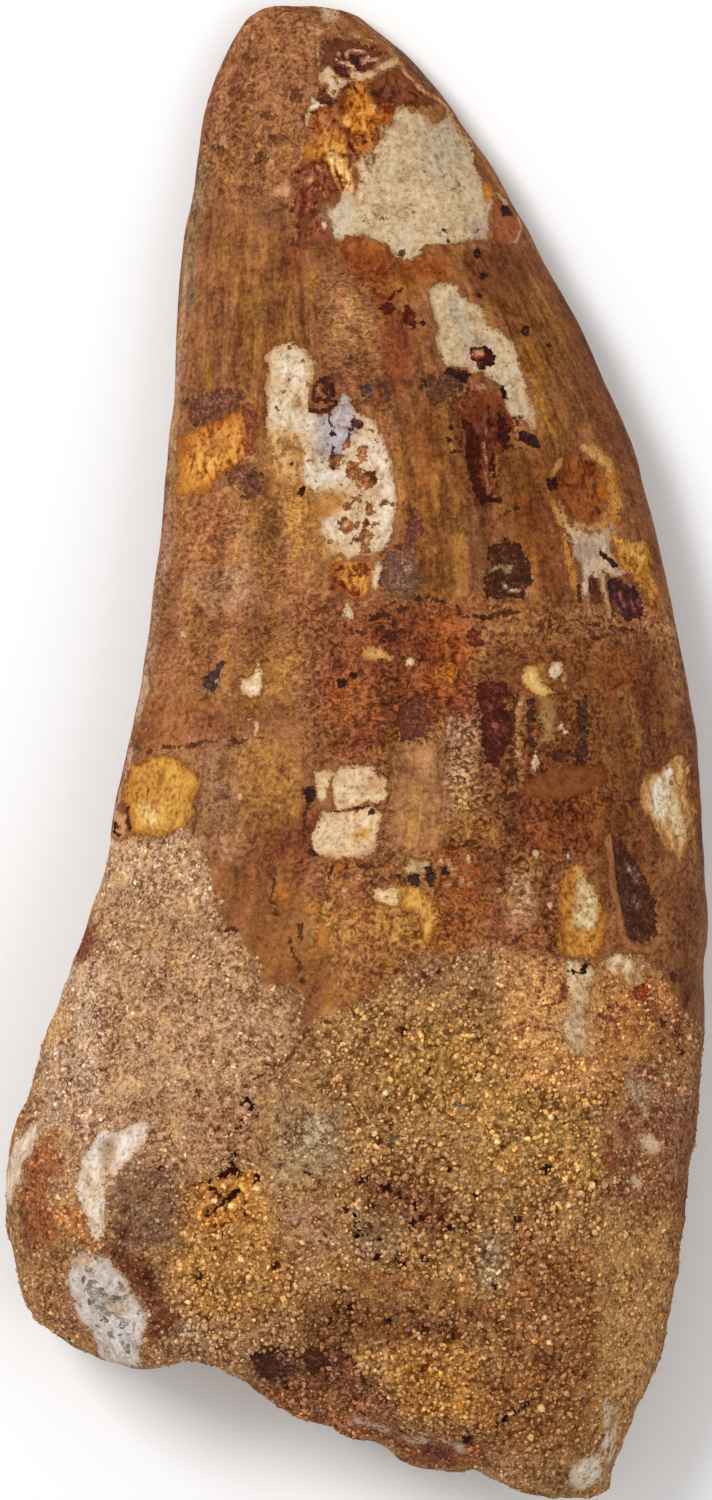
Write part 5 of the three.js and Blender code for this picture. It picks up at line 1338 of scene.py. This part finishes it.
class Nodes:
    """A new material, with short ways to add shader nodes."""

    def __init__(self, name):
        self.material = bpy.data.materials.new(name)
        self.material.use_nodes = True
        self.tree = self.material.node_tree
        self.tree.nodes.clear()

    def add(self, kind, inputs=None, **settings):
        made = self.tree.nodes.new(kind)
        for key, value in settings.items():
            setattr(made, key, value)
        for key, value in (inputs or {}).items():
            self.put(made.inputs[key], value)
        return made

    def put(self, socket, value):
        if isinstance(value, bpy.types.NodeSocket):
            self.tree.links.new(value, socket)
        else:
            socket.default_value = value

    def attribute(self, name, output="Fac"):
        return self.add("ShaderNodeAttribute", attribute_name=name).outputs[output]

    def math(self, operation, a, b=0.0, c=0.0):
        return self.add("ShaderNodeMath", {0: a, 1: b, 2: c}, operation=operation).outputs[0]

    def total(self, *terms):
        """Sum of weight times (value minus its middle)."""
        result = None
        for value, middle, weight in terms:
            part = self.math("MULTIPLY", self.math("SUBTRACT", value, middle), weight)
            result = part if result is None else self.math("ADD", result, part)
        return result

    def ramp(self, value, low, high, to_low=0.0, to_high=1.0):
        """A soft step from to_low to to_high as the value goes from low to high."""
        return self.add(
            "ShaderNodeMapRange",
            {"Value": value, "From Min": low, "From Max": high, "To Min": to_low, "To Max": to_high},
            interpolation_type="SMOOTHSTEP",
        ).outputs[0]

    def tones(self, value, stops):
        """Colour factors along a value."""
        made = self.add("ShaderNodeValToRGB", {"Fac": value})
        line = made.color_ramp.elements
        while len(line) < len(stops):
            line.new(0.5)
        for element, (at, colour) in zip(line, stops):
            element.position = at
            element.color = (*colour, 1.0)
        return made.outputs["Color"]

    def mix(self, share, a, b, how="MIX"):
        made = self.add("ShaderNodeMix", data_type="RGBA", blend_type=how)
        self.put(made.inputs[0], share)
        self.put(made.inputs[6], a)
        self.put(made.inputs[7], b)
        return made.outputs[2]

    def multiplied(self, colour, factors):
        return self.mix(1.0, colour, factors, "MULTIPLY")

    def shaded(self, share, colour, factors):
        """Shares in a colour multiplied by factors for red, green and blue."""
        return self.mix(share, colour, self.multiplied(colour, (*factors, 1.0)))

    def noise(self, vector, scale, detail=2.0, rough=0.5, distort=0.0):
        return self.add(
            "ShaderNodeTexNoise",
            {"Vector": vector, "Scale": scale, "Detail": detail, "Roughness": rough, "Distortion": distort},
        ).outputs["Fac"]

    def scaled(self, vector, x, y, z):
        return self.add("ShaderNodeMapping", {"Vector": vector, "Scale": (x, y, z)}).outputs[0]

    def place(self):
        """Where on the piece, in mm."""
        return self.scaled(self.add("ShaderNodeTexCoord").outputs["Object"], MM, MM, MM)

    def surface(self, inputs):
        """Ends the material."""
        shader = self.add("ShaderNodeBsdfPrincipled", inputs)
        self.add("ShaderNodeOutputMaterial", {"Surface": shader.outputs[0]})
        return self.material


# Factors from the darkest to the lightest tone of each kind of surface: where on the line, factors.
ENAMEL_TONES = ((0.0, (0.17, 0.10, 0.07)), (0.3, (0.46, 0.37, 0.28)), (0.5, (0.83, 0.82, 0.76)),
                (0.7, (1.26, 1.34, 1.28)), (1.0, (1.9, 2.3, 2.7)))
CHALK_TONES = ((0.0, (0.22, 0.15, 0.10)), (0.3, (0.62, 0.52, 0.42)), (0.5, (1.0, 1.0, 1.0)),
               (0.72, (1.13, 1.16, 1.2)), (1.0, (1.25, 1.34, 1.5)))
SAND_TONES = ((0.0, (0.14, 0.06, 0.03)), (0.3, (0.52, 0.37, 0.26)), (0.5, (0.98, 0.96, 0.92)),
              (0.7, (1.42, 1.5, 1.5)), (1.0, (1.9, 2.2, 2.6)))
MARBLE_TONES = ((0.0, (0.16, 0.08, 0.05)), (0.3, (0.5, 0.34, 0.22)), (0.5, (0.95, 0.92, 0.9)),
                (0.72, (1.2, 1.35, 1.6)), (1.0, (1.35, 1.75, 2.6)))
SPOT_TONES = ((0.0, (0.33, 0.27, 0.22)), (0.4, (0.77, 0.69, 0.6)), (0.6, (1.16, 1.09, 1.0)),
              (0.8, (2.1, 2.1, 2.0)), (1.0, (3.8, 4.0, 4.2)))

# Factors for the places where a surface is warmer, cooler or stained.
ENAMEL_WARM, ENAMEL_COOL = (1.12, 1.12, 0.72), (1.02, 0.9, 0.92)
CHALK_STAIN, RIM_STAIN, RING_STAIN = (0.8, 0.64, 0.46), (0.78, 0.56, 0.34), (0.62, 0.5, 0.42)
SAND_WARM = (1.06, 1.01, 0.84)
BUMP_HEIGHT = 0.001  # m: the height fields below are in mm


def fossil_material():
    """Enamel, pale patches, sandstone and dark spots, mixed by the masks of the canvas.

    Noises are about 0.5 on average. Their numbers are scale per mm, detail, roughness and distortion.
    """
    n = Nodes("fossil")
    place = n.place()
    grain = n.attribute("grain", "Vector")
    finish = n.add("ShaderNodeSeparateColor", {"Color": n.attribute("finish", "Color")}).outputs

    broad = n.noise(place, 0.28, 4, 0.6)
    middle = n.noise(place, 1.0, 4, 0.62, 0.6)
    fine = n.noise(place, 2.9, 3, 0.65)
    dust = n.noise(place, 6.5, 2, 0.6)

    edge = n.total((middle, 0.5, 3.2), (fine, 0.5, 3.6), (dust, 0.5, 1.0))

    def mask(name, wobble, width):
        return n.ramp(n.math("MULTIPLY_ADD", edge, wobble, n.attribute(name)), width, -width)

    # enamel: growth lines, wrinkles across them and grit, each as strong as the finish says
    bands = n.noise(n.scaled(grain, 0.6, 0.05, 0.3), 1.0, 3, 0.55, 0.3)
    lines = n.noise(n.scaled(grain, 1.15, 0.22, 0.8), 1.0, 5, 0.6, 1.3)
    threads = n.noise(n.scaled(grain, 3.4, 0.9, 2.0), 1.0, 3, 0.6, 1.2)
    wrinkle = n.noise(n.scaled(place, 1.1, 2.2, 1.0), 1.2, 4, 0.62, 2.0)
    curls = n.noise(place, 0.85, 3, 0.5, 2.6)
    squiggles = n.noise(place, 1.5, 3, 0.6, 2.0)
    tone = n.total((bands, 0.5, 0.7), (broad, 0.5, 0.4), (middle, 0.5, 0.5), (fine, 0.5, 0.3))
    tone = n.math("MULTIPLY_ADD", finish[0], n.total((lines, 0.5, 1.15), (threads, 0.5, 0.4)), tone)
    tone = n.math("MULTIPLY_ADD", finish[1], n.total((wrinkle, 0.5, 1.4)), tone)
    grit_tone = n.total((curls, 0.5, 0.6), (squiggles, 0.5, 2.2), (fine, 0.5, 0.9), (dust, 0.5, 0.4))
    tone = n.math("MULTIPLY_ADD", finish[2], grit_tone, tone)
    tone = n.math("ADD", tone, 0.5)
    enamel = n.multiplied(n.attribute("ground", "Color"), n.tones(tone, ENAMEL_TONES))
    hue = n.noise(n.scaled(grain, 0.5, 0.12, 0.4), 1.7, 4, 0.6, 0.8)
    enamel = n.shaded(n.ramp(hue, 0.5, 0.66), enamel, ENAMEL_WARM)
    enamel = n.shaded(n.ramp(hue, 0.5, 0.34), enamel, ENAMEL_COOL)

    # pale flaked patches: chalky, with stained edges and brown specks
    patch_value = n.attribute("patch")
    patch = mask("patch", 1.3, 0.35)
    holes = n.noise(place, 1.9, 4, 0.7)
    chalk_tone = n.total((middle, 0.45, 0.7), (fine, 0.46, 1.1), (dust, 0.5, 0.2))
    chalk_tone = n.math("ADD", chalk_tone, n.ramp(holes, 0.41, 0.33, 0.5, 0.14))
    marble = n.attribute("marble")
    veins = n.noise(n.scaled(place, 1.0, 0.55, 1.0), 0.9, 4, 0.6, 1.8)
    veined = n.tones(n.total((veins, 0.5, 2.0), (fine, 0.5, 1.0), (1.0, 0.5, 1.0)), MARBLE_TONES)
    tint = n.attribute("patch_tint", "Color")
    tint = n.mix(marble, tint, n.multiplied(tint, veined))
    chalk = n.multiplied(tint, n.tones(chalk_tone, CHALK_TONES))
    stain = n.noise(place, 0.75, 5, 0.66, 0.5)
    chalk = n.shaded(n.ramp(stain, 0.5, 0.64, 0.0, 0.5), chalk, CHALK_STAIN)
    rim = n.ramp(n.math("MULTIPLY_ADD", edge, 1.2, patch_value), -1.8, 0.0)
    rim = n.math("MULTIPLY", rim, n.ramp(broad, 0.42, 0.58, 0.25, 0.85))
    chalk = n.shaded(rim, chalk, RIM_STAIN)
    ring = n.math("MULTIPLY", n.ramp(patch_value, 1.1, 0.3), n.ramp(middle, 0.4, 0.6, 0.0, 0.45))
    enamel = n.shaded(ring, enamel, RING_STAIN)
    colour = n.mix(patch, enamel, chalk)

    # sandstone: rounded grains, dark gaps between them where it is coarse
    coarse = n.attribute("coarse")
    bent = n.add("ShaderNodeTexNoise", {"Vector": place, "Scale": 1.4, "Detail": 2.0})
    bent = n.add(
        "ShaderNodeVectorMath",
        {0: bent.outputs["Color"], 1: (0.9, 0.9, 0.9), 2: place},
        operation="MULTIPLY_ADD",
    ).outputs[0]
    grains = n.add("ShaderNodeTexVoronoi", {"Vector": bent, "Scale": 2.0}, feature="F1")
    chance = n.add("ShaderNodeSeparateColor", {"Color": grains.outputs["Color"]}).outputs
    grit = n.noise(place, 2.3, 4, 0.72)
    cloud = n.noise(place, 0.5, 5, 0.62)
    dome = grains.outputs["Distance"]
    rough_tone = n.total((dome, 0.42, -0.55), (grit, 0.5, 1.5), (chance[0], 0.5, 0.2))
    even_tone = n.total((squiggles, 0.5, 1.7), (fine, 0.5, 1.1), (dust, 0.5, 0.7), (grit, 0.5, 0.5))
    tone = n.add("ShaderNodeMix", {0: coarse, 2: even_tone, 3: rough_tone}, data_type="FLOAT").outputs[0]
    tone = n.math("ADD", tone, n.total((cloud, 0.5, 0.7), (broad, 0.5, 0.4)))
    # thin worm-like gaps where the squiggles cross their middle
    worm = n.math("ABSOLUTE", n.math("SUBTRACT", squiggles, 0.5))
    worm = n.math("MULTIPLY", n.ramp(worm, 0.03, 0.0), n.ramp(middle, 0.48, 0.58))
    worm = n.math("MULTIPLY", worm, n.math("MULTIPLY", coarse, -0.3))
    tone = n.math("ADD", tone, worm)
    tone = n.math("ADD", tone, 0.5)
    sand = n.multiplied(n.attribute("sand_tint", "Color"), n.tones(tone, SAND_TONES))
    sand = n.shaded(n.ramp(cloud, 0.5, 0.64), sand, SAND_WARM)
    crust = mask("sand", 0.9, 0.15)
    bare = n.ramp(n.math("MULTIPLY_ADD", edge, 0.8, patch_value), 0.18, -0.18)
    covered = n.math("MULTIPLY", crust, n.math("SUBTRACT", 1.0, bare))
    colour = n.mix(covered, colour, sand)

    # dark spots, pits and streaks, and the painted shade and highlights listed with them
    spot = mask("spot", 0.8, 0.2)
    spot_tone = n.total((middle, 0.5, 1.0), (fine, 0.5, 1.6), (dust, 0.5, 1.2))
    spot_tone = n.math("ADD", spot_tone, 0.5)
    dark = n.multiplied(n.attribute("spot_tint", "Color"), n.tones(spot_tone, SPOT_TONES))
    colour = n.mix(spot, colour, dark)

    # relief below the size of the mesh, from few noises, because bump works each of them out three times
    height = n.total((lines, 0.5, 0.04), (squiggles, 0.5, 0.07), (fine, 0.5, 0.05))
    height = n.math("MULTIPLY_ADD", patch, -0.06, height)
    height = n.math("MULTIPLY_ADD", spot, -0.06, height)
    bare_height = n.math("MULTIPLY", height, n.math("SUBTRACT", 1.0, covered))
    sand_height = n.total((squiggles, 0.5, 0.22), (grit, 0.5, 0.26), (fine, 0.5, 0.12))
    sand_height = n.math("MULTIPLY", sand_height, covered)
    height = n.math("ADD", bare_height, sand_height)
    bump = n.add("ShaderNodeBump", {"Strength": 1.0, "Distance": BUMP_HEIGHT, "Height": height}).outputs[0]

    rough = n.ramp(middle, 0.35, 0.65, 0.5, 0.66)
    rough = n.math("MAXIMUM", rough, n.math("MULTIPLY", patch, 0.8))
    rough = n.math("MAXIMUM", rough, n.math("MULTIPLY", covered, 0.88))
    return n.surface({"Base Color": colour, "Roughness": rough, "Specular IOR Level": 0.07, "Normal": bump})


mesh.materials.clear()
mesh.materials.append(fossil_material())
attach(skin, "root")
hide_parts("tooth")

# ---------------------------------------------------------------- grains of sand

# A solid with 12 corners and 20 faces.
GOLDEN = 1.618
ROUND_RADIUS = 1.902
ROUND = np.array([
    (0, 1, GOLDEN), (0, -1, GOLDEN), (0, 1, -GOLDEN), (0, -1, -GOLDEN),
    (1, GOLDEN, 0), (-1, GOLDEN, 0), (1, -GOLDEN, 0), (-1, -GOLDEN, 0),
    (GOLDEN, 0, 1), (-GOLDEN, 0, 1), (GOLDEN, 0, -1), (-GOLDEN, 0, -1),
]) / ROUND_RADIUS
ROUND_FACES = np.array([
    (0, 1, 8), (0, 9, 1), (0, 4, 5), (0, 8, 4), (0, 5, 9), (1, 6, 8), (1, 7, 6), (1, 9, 7), (2, 3, 11),
    (2, 10, 3), (2, 5, 4), (2, 4, 10), (2, 11, 5), (3, 6, 7), (3, 10, 6), (3, 7, 11), (4, 8, 10),
    (5, 11, 9), (6, 10, 8), (7, 9, 11),
])

mesh.calc_loop_triangles()
triangles = np.array([t.vertices[:] for t in mesh.loop_triangles])
skin_normals = read(mesh.vertex_normals, "vector")
in_sand = (
    (1 - smooth(canvas.sand + 0.5 * field(points, 0.7, 31), -0.6, 0.2))
    * smooth(canvas.patch, 0.2, 0.7) * smooth(canvas.spot, 0.1, 0.6)
    * (0.12 + 0.88 * smooth(field(points, 2.2, 41) + 1.3 * canvas.coarse, 0.1, 1.1))
)

GRAIN_RADIUS, COARSE_RADIUS = 0.15, 0.07  # mm: the second is added where the sandstone is coarse
RADIUS_SPREAD, STRETCH_SPREAD, CORNER_SPREAD = (0.6, 1.35), (0.62, 1.3), (0.58, 1.25)
# How far a grain's middle stands out, as shares of its radius.
LIFT, COARSE_LIFT, EDGE_LIFT, LIFT_SPREAD = -0.4, 0.45, -0.5, 0.25
# Powers of e for red, green and blue: of every grain, and of one that is warmer.
GRAIN_HUE = np.array((0, 0.04, 0.14))
WARM_HUE = np.array((0.3, 0, -1.1))
PALE_GRAIN = (222, 190, 146)
PALE_CHANCE, COARSE_PALE_CHANCE, PALE_SHARE = 0.02, 0.04, 0.4
BRIGHT_SHAPE = np.array((1.0, 0.85, 0.8))
BRIGHT_LIFT = 0.35  # share of the half size
CELL_OFFSET, CELL_SPAN = 4096, 8192  # these give each cell a number of its own


def blend(values, chosen, shares):
    """Values at places inside the chosen triangles."""
    return (values[triangles[chosen]] * shares[:, :, None]).sum(axis=1)


def turned(count, rng):
    """Random rotation matrices."""
    q = rng.normal(size=(count, 4))
    w, x, y, z = (q / np.linalg.norm(q, axis=1)[:, None]).T
    rows = [
        [1 - 2 * (y * y + z * z), 2 * (x * y - z * w), 2 * (x * z + y * w)],
        [2 * (x * y + z * w), 1 - 2 * (x * x + z * z), 2 * (y * z - x * w)],
        [2 * (x * z - y * w), 2 * (y * z + x * w), 1 - 2 * (x * x + y * y)],
    ]
    return np.array(rows).transpose(2, 0, 1)


def add_grains(name, share, pitch, size_factor, tries, seed, extra=()):
    """Loose-looking grains, half sunk in the sandstone where share is above 0, one to a cell."""
    rng = np.random.default_rng(seed)
    corners = moved[triangles]
    area = np.linalg.norm(np.cross(corners[:, 1] - corners[:, 0], corners[:, 2] - corners[:, 0]), axis=1)
    weight = area * share[triangles].mean(axis=1)
    chosen = rng.choice(len(triangles), tries, p=weight / weight.sum())
    a, b = np.sqrt(rng.random(tries)), rng.random(tries)
    shares = np.stack([1 - a, a * (1 - b), a * b], axis=1)
    spots = blend(moved, chosen, shares)
    cell = np.floor(spots / pitch).astype(np.int64) + CELL_OFFSET
    key = (cell[:, 0] * CELL_SPAN + cell[:, 1]) * CELL_SPAN + cell[:, 2]
    kept = np.unique(key, return_index=True)[1]
    chosen, shares, spots = chosen[kept], shares[kept], spots[kept]
    count = len(spots)
    rough = blend(canvas.coarse[:, None], chosen, shares)[:, 0]
    radius = size_factor * (GRAIN_RADIUS + COARSE_RADIUS * rough) * rng.uniform(*RADIUS_SPREAD, count)
    tint = blend(canvas.sand_tint, chosen, shares)
    outwards = blend(skin_normals, chosen, shares)
    # grains are sunk deeper where the surface faces sideways, so that the outline isn't beaded
    at_edge = 1 - smooth(np.abs(outwards[:, 2]), 0.1, 0.7)
    lift = LIFT + COARSE_LIFT * rough + EDGE_LIFT * at_edge + rng.uniform(-LIFT_SPREAD, LIFT_SPREAD, count)
    lift *= radius
    tone = np.exp(rng.normal(0.1, 0.25, count)) * (0.98 + 0.15 * rough)
    warm = rng.normal(0, 0.10, count)
    tint = tint * tone[:, None] * np.exp(GRAIN_HUE + warm[:, None] * WARM_HUE)
    pale = rng.random(count) < PALE_CHANCE + COARSE_PALE_CHANCE * rough
    tint[pale] = (1 - PALE_SHARE) * tint[pale] + PALE_SHARE * linear(PALE_GRAIN)
    centres = spots + outwards * lift[:, None]
    size = radius[:, None] * rng.uniform(*STRETCH_SPREAD, (count, 3))
    for colour, u, v, half in extra:
        near = np.argmin(np.hypot(places[:, 0] - u, places[:, 1] - v) + np.where(upper > 0.9, 0, 1e6))
        centres = np.concatenate([centres, [moved[near] + (0, 0, BRIGHT_LIFT * half / UNITS_PER_MM)]])
        size = np.concatenate([size, [BRIGHT_SHAPE * half / UNITS_PER_MM]])
        tint = np.concatenate([tint, [linear(colour)]])
    count = len(centres)
    shape = ROUND[None] * rng.uniform(*CORNER_SPREAD, (count, len(ROUND), 1)) * size[:, None]
    shape = np.einsum("nij,nkj->nki", turned(count, rng), shape) + centres[:, None]
    shape = np.clip(shape, box_low, box_high).reshape(-1, 3) / MM
    faces = (np.arange(count)[:, None, None] * len(ROUND) + ROUND_FACES[None]).reshape(-1, 3)
    grains = bpy.data.meshes.new(name)
    grains.from_pydata(shape.tolist(), [], faces.tolist())
    grains.polygons.foreach_set("use_smooth", np.ones(len(faces), bool))
    layer = grains.attributes.new("tint", "FLOAT_COLOR", "POINT")
    tint = np.concatenate([np.clip(tint, 0, 1), np.ones((count, 1))], axis=1)
    layer.data.foreach_set("color", np.repeat(tint, len(ROUND), axis=0).astype(np.float32).ravel())
    grains.materials.append(grain_material)
    piece = new_object(name, grains)
    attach(piece, "root")


def make_grain_material():
    n = Nodes("sand_grains")
    place = n.place()
    dust = n.noise(place, 5.0, 2, 0.6)
    squiggles = n.noise(place, 1.5, 3, 0.6, 2.0)
    tone = n.total((dust, 0.5, 0.8), (squiggles, 0.5, 1.5), (1.0, 0.48, 1.0))
    colour = n.multiplied(n.attribute("tint", "Color"), n.tones(tone, SAND_TONES))
    return n.surface({"Base Color": colour, "Roughness": 0.8, "Specular IOR Level": 0.1})


grain_material = make_grain_material()
side_up = smooth(skin_normals[:, 2], -0.35, -0.05)
add_grains("grains_above", in_sand * side_up, 0.52, 1.0, 42000, 5, BRIGHT_GRAINS)
add_grains("crumbs_above", in_sand * side_up, 0.5, 0.75, 34000, 7)
add_grains("grains_below", in_sand * (1 - side_up), 0.62, 1.1, 24000, 6)

# ---------------------------------------------------------------- floor, light, camera

FLOOR_HALF = 1.5
FLOOR_DROP = 0.00005  # just below the resting plane, so that nothing flickers through it

white = bpy.data.materials.new("floor")
white.use_nodes = True
floor_shader = white.node_tree.nodes["Principled BSDF"]
floor_shader.inputs["Base Color"].default_value = (0.98, 0.98, 0.98, 1.0)
floor_shader.inputs["Roughness"].default_value = 0.9
floor_shader.inputs["Specular IOR Level"].default_value = 0.1
floor_mesh = bpy.data.meshes.new("floor")
floor_corners = [(x * FLOOR_HALF, y * FLOOR_HALF, 0) for x, y in ((-1, -1), (1, -1), (1, 1), (-1, 1))]
floor_mesh.from_pydata(floor_corners, [], [(0, 1, 2, 3)])
floor = new_object("floor", floor_mesh)
floor.location.z = -FLOOR_DROP
floor_mesh.materials.append(white)


LIT_PLACE = (0, 0, 0.01)


def area_light(name, place, size, power):
    light = bpy.data.lights.new(name, "AREA")
    light.size = size
    light.energy = power
    lamp = new_object(name, light)
    lamp.location = place
    aim = Vector(LIT_PLACE) - Vector(place)
    lamp.rotation_euler = aim.to_track_quat("-Z", "Y").to_euler()


area_light("key", (-0.45, 0.35, 0.75), 0.35, 5.0)
area_light("fill", (0.6, -0.25, 0.7), 0.7, 1.8)

world = bpy.data.worlds.new("studio")
bpy.context.scene.world = world
world.use_nodes = True
backdrop = world.node_tree.nodes["Background"]
backdrop.inputs["Color"].default_value = (1.0, 1.0, 1.0, 1.0)
backdrop.inputs["Strength"].default_value = 0.52

camera_data = bpy.data.cameras.new("camera")
camera_data.sensor_fit = "AUTO"
camera_data.sensor_width = SENSOR
camera_data.lens = SENSOR * (CAMERA_HEIGHT - FOCUS_HEIGHT) / (FRAME_SIZE[1] / UNITS_PER_MM / MM)
camera_data.clip_start = 0.01
camera_data.clip_end = 20.0
camera = new_object("camera", camera_data)
camera.location = ((FRAME_SIZE[0] / 2 - MIDDLE[0]) / UNITS_PER_MM / MM, 0.0, CAMERA_HEIGHT)
bpy.context.scene.camera = camera
bpy.context.scene.view_settings.view_transform = "Standard"
